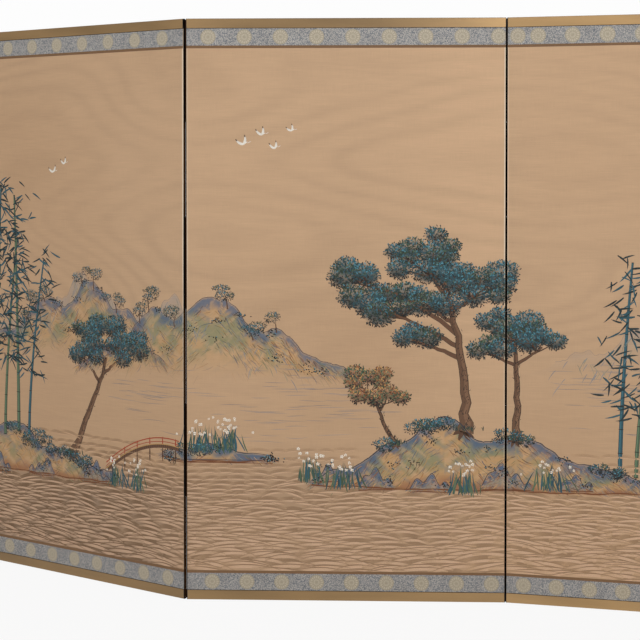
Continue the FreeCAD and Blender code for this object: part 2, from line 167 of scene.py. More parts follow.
class Finish:
    """A material in the making, with its nodes and the coordinates in metres that its patterns follow.

    They are the threads' own on a cloth, a panel's own on a panel, and the piece's own elsewhere.
    """

    def __init__(self, name, panel=None, cloth=False):
        self.material = bpy.data.materials.new(name)
        self.material.use_nodes = True
        self.tree = self.material.node_tree
        self.where = self.add("UVMap", uv_map="threads") if cloth else self.add("TexCoord", out="Object")
        if panel:
            self.where = self.add("Mapping", {
                "Vector": self.where, "Location": (*panel.centre, PANEL_HEIGHT / 2000),
                "Rotation": (0, 0, panel.heading)}, vector_type="TEXTURE")

    def add(self, kind, inputs=(), out=0, **settings):
        return add(self.tree, kind, inputs, out, **settings)

    def sized(self, sizes_mm):
        """Coordinates that grow by one over this many millimetres along X, Y and Z."""
        return self.add("Mapping", {"Vector": self.where, "Scale": tuple(1000 / size for size in sizes_mm)})

    def noise(self, sizes_mm, detail=2.0, distortion=0.0):
        """Soft noise whose spots measure this many millimetres along X, Y and Z."""
        return self.add("TexNoise", {
            "Vector": self.sized(sizes_mm), "Scale": 1.0, "Detail": detail, "Distortion": distortion})

    def between(self, noise, low, high):
        """Noise, which stays near a half, as a factor between low and high."""
        return self.add("MapRange", (noise, *NOISE_REACH, low, high))

    def toned(self, colour, *tones):
        """The colour times each tone: a factor, or noise with the two factors it lies between."""
        whole = None
        for tone in tones:
            factor = self.between(*tone) if isinstance(tone, tuple) else tone
            whole = self.add("Math", (whole, factor), operation="MULTIPLY") if whole else factor
        return self.add("VectorMath", {0: colour, "Scale": whole}, operation="SCALE")

    def beyond(self, value, limit):
        """1 where a length in metres, taken without its sign, is over the limit, and 0 elsewhere."""
        size = self.add("Math", (value,), operation="ABSOLUTE")
        return self.add("Math", (size, limit), operation="GREATER_THAN")

    def surface(self, colour, roughness, relief=None, strength=0.3, depth=0.0002, others=None):
        """Joins all to the Principled shader. The relief's depth is in metres. Returns the material."""
        inputs = {"Base Color": colour, "Roughness": roughness, **(others or {})}
        if relief:
            inputs["Normal"] = self.add("Bump", {"Height": relief, "Strength": strength, "Distance": depth})
        join(self.tree.nodes["Principled BSDF"], inputs)
        return self.material


# Slubby threads of plain-woven silk are long soft streaks along both ways of the weave. Real ones
# lie about 0.2 mm apart, which no render shows, so these are 1.5 mm apart.
WEFT, WARP = (70, 1.5, 1), (1.5, 50, 1)
CLOTH_DEPTH = 0.0003


def painted_silk_material():
    """Tan silk with a picture in thin washes.

    Ribbed threads run level, and the light drifts over them in faint watered bands.
    """
    silk = Finish("plain_weave_silk_painted", cloth=True)
    weft, warp, watered = silk.noise(WEFT), silk.noise(WARP), silk.noise((260, 30, 1), 3.0, 1.4)
    wash = silk.add("Attribute", attribute_name="wash")
    toned = silk.toned(wash, (weft, 0.94, 1.06), (warp, 0.97, 1.03), (watered, 0.965, 1.035))
    return silk.surface(toned, 0.62, weft, 0.35, CLOTH_DEPTH, {"Sheen Weight": 0.12})


def pigment_material():
    """Ground mineral colour and shell white in glue: matt, a little grainy, the silk's threads under it."""
    film = Finish("mineral_pigment_on_silk", cloth=True)
    grain, weft = film.noise((2.5, 2.5, 1), 3.0), film.noise(WEFT)
    toned = film.toned(film.add("Attribute", attribute_name="paint"), (grain, 0.86, 1.14), (weft, 0.96, 1.04))
    return film.surface(toned, 0.8, grain, 0.3, CLOTH_DEPTH)


def shaded_near_floor(cloth, colour):
    """A cloth's colour, painted a little darker towards the floor: painted shade where the light falls off.
    """
    height = cloth.add("SeparateXYZ", (cloth.where,), out="Y")
    return cloth.toned(colour, cloth.add("MapRange", (height, -0.8, -0.4, 0.93, 1.0)))


def brocade_material():
    """Figured brocade: blue-grey warp with a close small figure in pale weft, woven in relief."""
    cloth = Finish("figured_brocade_blue_grey", cloth=True)
    spots = {"Vector": cloth.sized((4, 4, 1)), "Scale": 1.0}
    cells = cloth.add("TexVoronoi", spots, feature="DISTANCE_TO_EDGE")
    figure = cloth.add("Math", (cells, cloth.noise((3.4, 3.4, 1), 2.0, 1.2)), operation="ADD")
    shown = cloth.add("MapRange", (figure, 0.54, 0.70))
    ground = cloth.add("Mix", {0: shown, 6: rgba("#686D75"), 7: rgba("#B5AFA7")}, out=2, data_type="RGBA")
    # Painted shade: the brocade is painted darker towards the floor.
    toned = shaded_near_floor(cloth, cloth.toned(ground, (cloth.noise((45, 45, 1)), 0.9, 1.1)))
    height = cloth.add("Math", (figure, cloth.noise((9, 0.9, 1))), operation="ADD")
    return cloth.surface(toned, 0.55, height, 0.4, CLOTH_DEPTH, {"Sheen Weight": 0.15})


def woven_gold_material():
    """Pale gold weft floated over the ground of the brocade, its threads lying level."""
    weave = Finish("brocade_weft_pale_gold", cloth=True)
    weft, fleck = weave.noise((14, 0.9, 1)), weave.noise((2.0, 2.0, 1), 3.0)
    paint = weave.add("Attribute", attribute_name="paint")
    toned = weave.toned(paint, (weft, 0.93, 1.07), (fleck, 0.78, 1.22))
    # Painted shade: the woven gold is painted darker towards the floor.
    return weave.surface(shaded_near_floor(weave, toned), 0.5, weft, 0.3, 0.0002, {"Sheen Weight": 0.2})


# The painted sheen of each panel's top and bottom rail, a painted reflection of the lamps in the gold: how
# bright its gold is painted in the middle, how much brighter it is painted from there to the right end, and
# how much brighter to both ends. Then, in metres from a panel's middle, where a rail's black end starts and
# where a stile's black outer face lies.
RAIL_PAINTED_SHEEN = {
    1: ((1.0, 0, 0), (0.9, 0, 0)),
    2: ((1.0, 0, 0), (0.78, 0, 0)),
    3: ((0.62, 0.16, 0.62), (0.90, 0.10, 0.12)),
    4: ((1.18, 0, 0), (1.24, 0, 0)),
}
RAIL_END, STILE_FACE = 0.4683, 0.46995


def gold_lacquer_material(panel, place, painted_sheen=(1.0, 0, 0)):
    """Gold powder in lacquer over wood, burnished: metallic, its tone and roughness drifting along the rail.

    The gold is also painted brighter or darker, panel by panel and along the rail, as a painted reflection
    of the lamps. The rails' ends, which face each other in the folds, are lacquered black. painted_sheen is
    a row of RAIL_PAINTED_SHEEN.
    """
    upright = place == "stile"
    lacquer = Finish(f"gold_lacquer_{place}_{panel.number}", panel)
    lie = -1 if upright else 1
    drift, brushed = lacquer.noise((420, 60, 60)[::lie]), lacquer.noise((60, 0.9, 0.9)[::lie])
    powder = lacquer.noise((0.8, 0.8, 0.8))
    across = lacquer.add("SeparateXYZ", (lacquer.where,), out="X")
    painted_brightness, lean, both = painted_sheen
    # Painted reflection: along the rail the gold is painted brighter towards its right end and both ends.
    along = lacquer.add("Math", (across, 1 / (PANEL_WIDTH / 2000)), operation="MULTIPLY")
    rise = lacquer.add("Math", (along, both, lean), operation="MULTIPLY_ADD")
    rise = lacquer.add("Math", (along, rise, 1.0), operation="MULTIPLY_ADD")
    gold = lacquer.toned(hex_colour("#A08158") * painted_brightness, (drift, 0.76, 1.22), (brushed, 0.95, 1.05),
                         (powder, 0.95, 1.05), rise)
    ends = lacquer.beyond(across, 1.0 if upright else RAIL_END)
    colour = lacquer.add("Mix", {0: ends, 6: gold, 7: rgba("#0B0807")}, out=2, data_type="RGBA")
    rough = lacquer.between(drift, 0.34, 0.46)
    return lacquer.surface(colour, rough, brushed, 0.12, others={"Metallic": 0.55})


def tape_material(panel):
    """Plain brown silk tape, with its threads along and across it."""
    tape = Finish(f"brown_silk_tape_{panel.number}", panel)
    weft, warp = tape.noise((40, 0.8, 0.8)), tape.noise((0.8, 0.8, 6))
    return tape.surface(tape.toned(hex_colour("#7A5A3C"), (weft, 0.86, 1.14), (warp, 0.9, 1.1)), 0.7, weft)


def circle_print(paper, pitch=0.066):
    """1 on the lines of interlocking circles, printed with one block over and over, and 0 beside them."""
    rings = []
    for shift in (0.0, 0.5):
        placed = paper.add("Mapping", {
            "Vector": paper.where, "Location": (shift, 0, shift), "Scale": (1 / pitch, 0, 1 / pitch)})
        away = paper.add("TexVoronoi", {"Vector": placed, "Scale": 1.0, "Randomness": 0.0})
        rings.append(paper.add("Math", (away, 0.485, 0.022), operation="COMPARE"))
    return paper.add("Math", rings, operation="MAXIMUM")


GROOVE_OVERLAP = 0.0003


def grooves_painted_shade(paper, panel, colour):
    """A lining's colour: painted darker towards the floor as painted shade, and painted near black in the
    narrow grooves around the cloth, as painted shade in those recesses.

    High on the second panel's right edge the painted shade is left off the groove.
    """
    across, height = (paper.add("SeparateXYZ", (paper.where,), out=axis) for axis in "XZ")
    # Painted shade: the lining is painted darker towards the floor.
    colour = paper.toned(colour, paper.add("MapRange", (height, -0.6, 0.3, 0.6, 1.0)))
    # Painted shade: the groove under each rail and the strips beside the cloth's edges are painted near
    # black.
    groove = paper.beyond(height, BROCADE_TOP / 1000)
    for side, border in zip((-1.0, 1.0), panel.border):
        outward = paper.add("Math", (across, side), operation="MULTIPLY")
        edge = abs(border) / 1000 - GROOVE_OVERLAP
        beside = paper.add("Math", (outward, edge), operation="GREATER_THAN")
        if (panel.number, side) == (2, 1.0):
            kept = paper.add("MapRange", (height, 0.1, 0.5, 1.0, 0.0))
            beside = paper.add("Math", (beside, kept), operation="MULTIPLY")
        groove = paper.add("Math", (groove, beside), operation="MAXIMUM")
    return paper.add("Mix", {0: groove, 6: colour, 7: rgba("#120B07")}, out=2, data_type="RGBA")


def paper_material(name, panel, colour, mottling, roughness=0.85, specular=0.5, groove_shade=False, printed=False):
    """Handmade paper: long fibres lie every way, and it has yellowed unevenly. A cover is printed."""
    paper = Finish(f"{name}_{panel.number}", panel)
    clouds, fibres = paper.noise((120, 120, 120), 4.0), paper.noise((7, 2, 1.2), 4.0, 1.5)
    aged = paper.toned(hex_colour(colour), (clouds, 1 - mottling, 1 + mottling), (fibres, 0.94, 1.06))
    if groove_shade:
        aged = grooves_painted_shade(paper, panel, aged)
    if printed:
        worn = paper.add("Math", (circle_print(paper), paper.between(clouds, 0.7, 0.2)), operation="MULTIPLY")
        aged = paper.add("Mix", {0: worn, 6: aged, 7: rgba("#C9BFA6")}, out=2, data_type="RGBA")
    return paper.surface(aged, roughness, fibres, 0.25, others={"Specular IOR Level": specular})


def cedar_material(panel, way, sizes_mm):
    """Planed cedar: fine straight grain along each lath, darker late wood between pale early wood.

    The outer faces of the stiles, seen in the folds, are stained black.
    """
    cedar = Finish(f"planed_cedar_{way}_{panel.number}", panel)
    grain = cedar.noise(sizes_mm, 3.0)
    shades = {0: cedar.between(grain, 0.0, 1.0), 6: rgba("#D9BE90"), 7: rgba("#B28F5E")}
    wood = cedar.add("Mix", shades, out=2, data_type="RGBA")
    outer = cedar.beyond(cedar.add("SeparateXYZ", (cedar.where,), out="X"), STILE_FACE)
    colour = cedar.add("Mix", {0: outer, 6: wood, 7: rgba("#0E0A08")}, out=2, data_type="RGBA")
    return cedar.surface(colour, 0.6, grain, 0.2, others={"Specular IOR Level": 0.1})


def forged_iron_material():
    """Forged nail iron: dark scale, dull and pitted."""
    iron = Finish("forged_iron")
    toned = iron.toned(hex_colour("#4B4744"), (iron.noise((2, 2, 2), 4.0), 0.8, 1.2))
    return iron.surface(toned, 0.55, others={"Metallic": 0.8})


def finish_node(node, material):
    """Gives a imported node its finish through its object's material slots."""
    piece = frame["nodes"][node]
    if not piece.material_slots:
        piece.data.materials.append(material)
    for slot in piece.material_slots:
        slot.link = "OBJECT"
        slot.material = material


iron = forged_iron_material()
for panel in PANELS:
    # Each rail's gold is painted brighter or darker, panel by panel, as a painted reflection of the lamps.
    top_painted_sheen, bottom_painted_sheen = RAIL_PAINTED_SHEEN[panel.number]
    # The lining holds painted shade: near black in its grooves, darker towards the floor.
    lining = paper_material("lining_paper_cream", panel, "#D8C2A4", 0.06, specular=0.05, groove_shade=True)
    upright = cedar_material(panel, "upright", (2.2, 2, 300))
    level = cedar_material(panel, "level", (300, 2, 2.2))
    finishes = {
        "frame_rail_top": gold_lacquer_material(panel, "top_rail", top_painted_sheen),
        "frame_rail_bottom": gold_lacquer_material(panel, "bottom_rail", bottom_painted_sheen),
        "fillet_strips": tape_material(panel),
        "front_lining": lining, "back_lining": lining,
        "back_cover": paper_material("cover_paper_buff", panel, "#8C806B", 0.07, printed=True),
        "core_stiles": upright, "lattice_uprights": upright,
        "core_rails": level, "lattice_crossbars": level,
        "frame_nails": iron,
    }
    if panel.first or panel.last:
        side = "left" if panel.first else "right"
        finishes[f"frame_stile_{side}"] = gold_lacquer_material(panel, "stile")
    for node, material in finishes.items():
        finish_node(f"{panel.body}_{node}", material)
for fold in (1, 2, 3):
    for side, panel in (("left", PANELS[fold - 1]), ("right", PANELS[fold])):
        # The same hinge paper: painted near black in folds 1 and 3 as painted shade deep in those gaps, dark
        # brown in fold 2.
        hinge_colour_with_painted_shade = "#3A2412" if fold == 2 else "#080504"
        strip = paper_material(f"hinge_paper_{side}", panel, hinge_colour_with_painted_shade, 0.2, 0.9, 0.02)
        finish_node(f"fold_{fold}_strips_{side}", strip)


# Surfaces

def make_piece(panel, name, points, faces, material, layers):
    """A mesh from points in the panel's frame. layers has its colours by point, its UV by point or corner."""
    mesh = bpy.data.meshes.new(f"{panel.body}_{name}")
    mesh.from_pydata(panel.place(points), [], faces)
    for layer, values in layers.items():
        if values.shape[-1] == 2:
            if len(values) != len(mesh.loops):
                corners = np.empty(len(mesh.loops), dtype=np.int32)
                mesh.loops.foreach_get("vertex_index", corners)
                values = values[corners]
            mesh.uv_layers.new(name=layer).uv.foreach_set("vector", values.ravel())
        else:
            colours = np.column_stack([values, np.ones(len(values))])
            held = mesh.color_attributes.new(layer, "FLOAT_COLOR", "POINT")
            held.data.foreach_set("color", colours.ravel())
    mesh.materials.append(material)
    piece = bpy.data.objects.new(mesh.name, mesh)
    bpy.context.scene.collection.objects.link(piece)
    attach(piece, panel.body)
    return piece


def joined(parts):
    """Sheets as one: their points, their faces with the corners counted on, and one thing more of each."""
    points, faces, more = zip(*parts)
    starts = np.cumsum([0] + [len(part) for part in points[:-1]]).tolist()
    corners = [[start + corner for corner in face] for start, part in zip(starts, faces) for face in part]
    return np.concatenate(points), corners, np.concatenate(more)


# Where the front ends, the edge lies and the back starts, across the map of a sheet.
FRONT_END, EDGE_STRIP, BACK_START = 0.95, (0.955, 0.965), 0.97


def slab(x, z, front, back):
    """A thin sheet on a panel: a grid of points in front, its edge turned back, and a plain back.

    x and z are the grid's columns and rows. Returns its points in the panel's frame, its faces, and
    for each face's corners a place in the unit square: the front on the left, the back on the right.
    """
    rows, columns = len(z), len(x)
    grid_x, grid_z = np.meshgrid(x, z)
    index = np.arange(rows * columns).reshape(rows, columns)
    rim = np.concatenate([index[0, :-1], index[:-1, -1], index[-1, :0:-1], index[:0:-1, 0]])
    points = np.stack([grid_x.ravel(), np.full(grid_x.size, -front), grid_z.ravel()], axis=1)
    behind = points[rim] * (1, 0, 1) + (0, -back, 0)
    far = rows * columns + np.arange(len(rim))
    sides = np.stack([rim, far, np.roll(far, -1), np.roll(rim, -1)], axis=1)
    grid = index[:-1, :-1].reshape(-1, 1) + (0, 1, columns + 1, columns)
    faces = grid.tolist() + sides.tolist() + [far[::-1].tolist()]
    share = (points[:, ::2] - (x[0], z[0])) / (x[-1] - x[0], z[-1] - z[0])
    run = (np.arange(len(rim))[:, None] + (0, 0, 1, 1)) / len(rim)
    low, high = EDGE_STRIP
    edge = pair(np.broadcast_to((low, high, high, low), run.shape), run)
    flat = [share[grid] * (FRONT_END, 1), edge, share[rim[::-1]] * (1 - BACK_START, 1) + (BACK_START, 0)]
    return np.concatenate([points, behind]), faces, np.concatenate([part.reshape(-1, 2) for part in flat])


# The picture: soft noise, masses of land, and washes

def smooth_step(low, high, value):
    """0 below low, 1 above high, and a curve without corners between."""
    share = np.clip((value - low) / (high - low), 0, 1)
    return share * share * (3 - 2 * share)


def cloud(u, v, size, seed, octaves=4):
    """Soft noise from 0 to 1: random heights on a square grid, joined smoothly, with finer grids on it."""
    table = np.random.default_rng(seed).random((64, 64))
    total, weight, whole = 0.0, 1.0, 0.0
    for octave in range(octaves):
        x, y = u / size + 17.3 * octave, v / size + 5.1 * octave
        i, j = np.floor(x).astype(int), np.floor(y).astype(int)
        a, b = smooth_step(0, 1, x - i), smooth_step(0, 1, y - j)
        low, high = (
            table[i % 64, row % 64] * (1 - a) + table[(i + 1) % 64, row % 64] * a for row in (j, j + 1))
        total = total + weight * (low * (1 - b) + high * b)
        whole += weight
        size, weight = size / 2, weight / 2
    return total / whole


class Land:
    """A mass of land or stone: it stands on its foot line, under a crest of rounded peaks.

    The crest over the foot is the cube root of the summed cubes of the peaks, each a bell curve
    given by its middle, its half width and its height, roughened by soft noise.
    """

    def __init__(self, foot, peaks, rough, seed, sag=0.0):
        self.foot_level, self.sag, self.rough, self.seed = foot, sag, rough, seed
        self.peaks = np.array(peaks, dtype=float)
        self.left = (self.peaks[:, 0] - 1.9 * self.peaks[:, 1]).min()
        self.right = (self.peaks[:, 0] + 1.9 * self.peaks[:, 1]).max()

    def foot(self, u):
        share = (u - self.left) / (self.right - self.left)
        wobble = 10 * (cloud(u, 0 * u, 70, self.seed + 5) - 0.5)
        return self.foot_level - self.sag * 4 * share * (1 - share) + wobble

    def crest(self, u):
        middle, width, height = (self.peaks[:, i].reshape((-1,) + (1,) * np.ndim(u)) for i in range(3))
        over = np.cbrt(((height * np.exp(-(((u - middle) / width) ** 2))) ** 3).sum(axis=0))
        uneven = self.rough * (cloud(u, 0 * u, 42, self.seed) - 0.5) * smooth_step(8, 60, over) * 2
        return self.foot(u) + over * 1.06 - 14 + uneven


FAR_HILLS = [
    Land(610, [(1180, 150, 110), (1320, 105, 170), (1450, 115, 235), (1575, 80, 190), (1700, 130, 140),
               (1835, 100, 200), (1950, 110, 130), (2110, 90, 80)], 36, 11),
    Land(600, [(3050, 120, 70), (3230, 120, 150), (3370, 110, 225), (3500, 90, 180), (3650, 130, 120)],
         36, 12),
    Land(560, [(330, 260, 190), (690, 190, 110)], 20, 13),
]
MID_HILLS = [
    Land(600, [(1120, 120, 90), (1300, 150, 190), (1490, 130, 250), (1640, 120, 170)], 18, 14, 10),
    Land(570, [(1560, 110, 90), (1760, 150, 215), (1960, 160, 255), (2150, 130, 150), (2300, 90, 60)],
         18, 15, 14),
    Land(560, [(3420, 130, 110), (3580, 120, 160), (3720, 110, 110)], 16, 16, 10),
    Land(560, [(60, 120, 130), (220, 130, 170), (390, 110, 90)], 16, 17, 10),
]
BANKS = [
    Land(258, [(2330, 90, 60), (2480, 120, 130), (2640, 150, 215), (2860, 190, 165), (3080, 160, 90)],
         14, 21, 16),
    Land(232, [(960, 150, 120), (1150, 170, 165), (1370, 150, 95), (1530, 110, 50)], 14, 22, 14),
    Land(330, [(1850, 90, 40), (1960, 110, 62), (2090, 80, 36)], 8, 23, 8),
    Land(215, [(180, 150, 130), (400, 190, 100), (600, 120, 50)], 14, 24, 14),
    Land(300, [(3560, 110, 60), (3690, 90, 90)], 10, 25, 8),
]
BOULDERS = [
    Land(262, [(2300, 26, 62), (2266, 18, 40), (2334, 16, 34), (2240, 12, 18)], 18, 31),
    Land(240, [(2410, 22, 60), (2440, 24, 78), (2476, 20, 46)], 18, 32),
    Land(236, [(2566, 30, 52), (2604, 24, 70), (2644, 24, 40)], 18, 33),
    Land(244, [(2776, 26, 60), (2808, 30, 90), (2850, 24, 62), (2884, 18, 34)], 18, 34),
    Land(216, [(1486, 26, 56), (1518, 24, 72), (1560, 22, 44)], 18, 35),
    Land(214, [(1300, 30, 78), (1262, 20, 56), (1228, 20, 36)], 18, 36),
    Land(206, [(1050, 26, 56), (1080, 24, 70), (1116, 20, 40)], 18, 37),
    Land(318, [(2122, 18, 40), (2098, 12, 26), (1822, 18, 34), (1800, 12, 20)], 10, 38),
    Land(200, [(290, 26, 66), (322, 22, 48), (520, 24, 54), (548, 16, 34)], 18, 39),
    Land(296, [(3480, 20, 46), (3506, 14, 30), (3740, 20, 40)], 10, 40),
    Land(250, [(2996, 24, 50), (3024, 22, 64), (3062, 20, 38)], 18, 41),
]

SILK = hex_colour("#C7A37F")
SILK_SHADE = hex_colour("#A9845F")
WATER_SHADE = hex_colour("#87705C")
MIST_BLUE = hex_colour("#868C92")
MIST_GREEN = hex_colour("#96927A")
STONE_BLUE = hex_colour("#485D78")
STONE_GREY = hex_colour("#8A8377")
OCHRE = hex_colour("#B98F58")
OLIVE = hex_colour("#858562")
RUST = hex_colour("#925A36")
TEAL = hex_colour("#315761")
TEAL_LIGHT = hex_colour("#4C8291")
TEAL_DARK = hex_colour("#1F3134")
LEAF_GREEN = hex_colour("#54674F")
INK = hex_colour("#221A16")
INK_BROWN = hex_colour("#5E4230")
BARK = hex_colour("#7E5D45")
SHELL_WHITE = hex_colour("#EFE8DC")
VERMILION = hex_colour("#B24A2E")
WAVE_BROWN = hex_colour("#74593F")
WAVE_LIGHT = hex_colour("#D5B193")
# The pale of the silk's fold edges: bare silk, and painted highlight.
BARE_EDGE_AND_HIGHLIGHT = hex_colour("#E8D6BC")
ROUNDEL_GROUND = hex_colour("#A69B86")
ROUNDEL_PETAL = hex_colour("#BFB39D")
GREEN_LEAVES = (TEAL_DARK, INK * 1.2, TEAL * 0.75, TEAL, TEAL_LIGHT)
TURNING_LEAVES = (INK_BROWN * 0.7, INK, OLIVE * 0.7, RUST, OCHRE)
GOLDEN_ANGLE = 2.39996
RING_PITCH, RING_DRIFT = 120, 14
SHORE_LEVEL = 262


def grow_crown(heads, clump, seed):
    """Places of leaf clumps in a crown, head by head from the top down.

    A head is its middle, its two radii and its number of clumps, which lie at the points of a
    sunflower spiral in its ellipse, pushed about a little. Each row is a clump's u, v and radii.
    """
    rng = np.random.default_rng(seed)
    grown = []
    for middle_u, middle_v, reach_u, reach_v, count in heads:
        order = np.arange(count) + 0.5
        out, turn = np.sqrt(order / count), order * GOLDEN_ANGLE
        u = middle_u + reach_u * (out * np.cos(turn) + rng.normal(0, 0.12, count))
        v = middle_v + reach_v * (out * np.sin(turn) + rng.normal(0, 0.12, count))
        grown.append(np.column_stack([u, v, clump * rng.uniform(0.75, 1.2, (count, 1)) * (1.0, 0.74)]))
    rows = np.concatenate(grown)
    return rows[np.argsort(-rows[:, 1])]


# Each tree: where its trunk stands, its bend, its top and its width, the heads of its crown, the
# size of its leaf clumps, and whether its leaves are turning.
TREES = [
    (2700, (2716, 590), (2640, 860), 30, (
        (2470, 800, 92, 46, 7), (2590, 935, 104, 62, 10), (2735, 865, 92, 56, 8),
        (2380, 880, 60, 34, 4), (2600, 800, 66, 30, 4), (2545, 700, 44, 22, 3)), 42, False),
    (2846, (2860, 520), (2840, 690), 22, (
        (2830, 730, 76, 50, 8), (2925, 690, 52, 34, 4), (2766, 668, 44, 26, 3)), 36, False),
    (2500, (2470, 420), (2430, 520), 13, ((2410, 560, 60, 40, 6), (2470, 520, 40, 22, 3)), 28, True),
    (1410, (1500, 440), (1560, 610), 24, (
        (1530, 690, 90, 56, 8), (1640, 650, 70, 42, 6), (1460, 620, 50, 30, 3)), 38, False),
    (300, (280, 520), (330, 760), 34, (
        (250, 800, 100, 56, 8), (370, 880, 110, 66, 9), (470, 790, 80, 44, 6)), 44, False),
    (590, (650, 350), (700, 440), 14, ((690, 480, 60, 40, 6), (760, 450, 44, 28, 3)), 30, True),
    (3620, (3590, 470), (3600, 560), 18, ((3580, 620, 80, 50, 8), (3670, 580, 50, 30, 4)), 34, False),
]
CROWNS = [grow_crown(tree[4], tree[5], seed) for seed, tree in enumerate(TREES, start=51)]


def picture_washes(u, v):
    """The colour of the silk under its washes at each point: every wash covers it by its own strength.

    The silk is watered: dark rings follow the level lines of tilted soft noise, as in a board's grain.
    """
    level = v / RING_PITCH + RING_DRIFT * cloud(u, 2.4 * v, 1000, 34, 2)
    rings = np.abs(np.sin(np.pi * level)) ** 4 * cloud(u, v, 300, 12)
    # Painted shade and light in the silk's tone: it is painted darker towards the foot, where the light falls
    # off, and painted lighter on the right of the third panel, nearer the key lamp.
    tone = (0.93 + 0.07 * smooth_step(250, 1400, v)) * (1 - 0.11 * rings * smooth_step(450, 800, v))
    tone *= 1 + 0.09 * smooth_step(2350, 2820, u) * (u < 3 * PANEL_WIDTH)
    colour = SILK * tone[:, None]

    def lay(pigment, strength, at=slice(None)):
        colour[at] += (pigment - colour[at]) * np.clip(strength, 0, 1)[:, None]

    def wash(pigment, strength, low, high, pattern):
        lay(pigment, strength * inside * smooth_step(low, high, pattern), at)

    lay(SILK_SHADE, 0.5 * (cloud(u, v, 620, 2) - 0.35) + 0.10 * smooth_step(900, 0, v))
    for hill in FAR_HILLS:
        at = np.flatnonzero((u > hill.left) & (u < hill.right) & (v < 900))
        depth, rise = hill.crest(u[at]) - v[at], v[at] - hill.foot(u[at])
        body = smooth_step(0, 7, depth) * smooth_step(-30, 150, rise)
        grain = cloud(u[at] + 0.5 * v[at], v[at], 50, hill.seed + 60)
        lay(MIST_BLUE, 0.50 * body * np.exp(-depth / 75) * (0.5 + 0.8 * grain), at)
        lay(MIST_GREEN, 0.4 * body * smooth_step(14, 60, depth) * np.exp(-depth / 110) * (0.3 + grain), at)
    bay = smooth_step(1600, 2150, u) * smooth_step(2500, 2250, u)
    shore = SHORE_LEVEL + 34 * (cloud(u, 0 * u, 300, 8) - 0.5) + 110 * bay
    deep = 0.02 + 0.34 * smooth_step(2900, 2500, u) + 0.85 * smooth_step(2000, 1600, u)
    lay(WATER_SHADE, 0.8 * deep * smooth_step(40, -110, v - shore) * (0.4 + 0.9 * cloud(u, v * 3, 240, 9)))
    for mass in MID_HILLS + BANKS + BOULDERS:
        at = np.flatnonzero((u > mass.left) & (u < mass.right) & (v < 950))
        crest, foot = mass.crest(u[at]), mass.foot(u[at])
        depth, rise, tall = crest - v[at], v[at] - foot, np.maximum(crest - foot, 1)
        inside = smooth_step(0, 5, depth) * smooth_step(-5, 6, rise) * smooth_step(4, 20, crest - foot)
        steps = np.arange(mass.left, mass.right, 8.0)
        slope = np.interp(u[at], steps, np.gradient(mass.crest(steps), 8.0))
        streak = cloud(u[at] + 1.2 * np.sign(slope) * v[at], 0.4 * v[at], 20, mass.seed + 61)
        if mass in BOULDERS:
            lay(STONE_GREY, 0.85 * inside, at)
            wash(STONE_BLUE, 0.95, 0.28, 0.80, rise / tall + 0.6 * (streak - 0.5))
            wash(SILK, 0.50, 0.56, 0.70, streak)
            wash(RUST, 0.65, 0.34, 0.05, rise / tall)
            continue
        mottle = cloud(u[at], v[at], 52, mass.seed + 60)
        if mass in MID_HILLS:
            inside = 0.9 * inside * smooth_step(0.02, 0.5, rise / tall)
        lay(OCHRE, 0.66 * inside, at)
        wash(OLIVE, 0.90 * smooth_step(0.10, 0.5, rise / tall), 0.40, 0.62, mottle)
        wash(SILK, 0.50, 0.54, 0.70, streak)
        wash(STONE_GREY, 0.55, 0.44, 0.30, streak)
        if mass in BANKS:
            wash(RUST, 0.75, 0.26, 0.04, rise / tall + 0.25 * (mottle - 0.5))
        wash(STONE_BLUE, 0.88, 46, 3, depth + 60 * (streak - 0.5))
    for clumps, tree in zip(CROWNS, TREES):
        pigment, shade = (RUST, INK_BROWN) if tree[6] else (TEAL, TEAL_DARK)
        for cu, cv, ru, rv in clumps:
            at = np.flatnonzero((np.abs(u - cu) < 1.5 * ru) & (np.abs(v - cv) < 1.5 * rv))
            near = ((u[at] - cu) / ru) ** 2 + ((v[at] - cv) / rv) ** 2
            soft = smooth_step(1.15, 0.4, near) * (0.6 + 0.6 * cloud(u[at], v[at], 24, 70))
            lay(pigment, 0.55 * soft, at)
            lay(shade, 0.85 * soft * smooth_step(0.45, -0.5, (v[at] - cv) / rv), at)
    return colour


# The picture: brush strokes

LEAF = np.array([0.0, 0.85, 1.0, 0.0])
BLOB = np.array([0.35, 1.0, 1.0, 0.35])
BLADE = np.array([0.55, 1.0, 0.9, 0.6, 0.0])
LINE = np.array([0.15, 0.7, 1.0, 0.95, 0.8, 0.5, 0.1])
LIFT_STEP, LIFT_STEPS = 0.0026, 27
FILM_INSET, FILM_MARGIN = 0.3, 0.5
CELL_MARGIN = 0.15


def curved(start, angle, length, width, bend=0.0, profile=LEAF):
    """Strokes that start at a point, run off at an angle and turn by bend as they go.

    Returns their centre lines, worked out as the running sum of equal short steps, and their widths.
    """
    steps = len(profile) - 1
    share = (np.arange(steps) + 0.5) / steps
    angle, length, width, bend = (
        np.broadcast_to(value, len(start))[:, None] for value in (angle, length, width, bend))
    turned = angle + bend * (share - 0.5)
    moves = pair(np.cos(turned), np.sin(turned)) * (length / steps)[..., None]
    path = np.concatenate([start[:, None], start[:, None] + np.cumsum(moves, axis=1)], axis=1)
    return path, width * profile


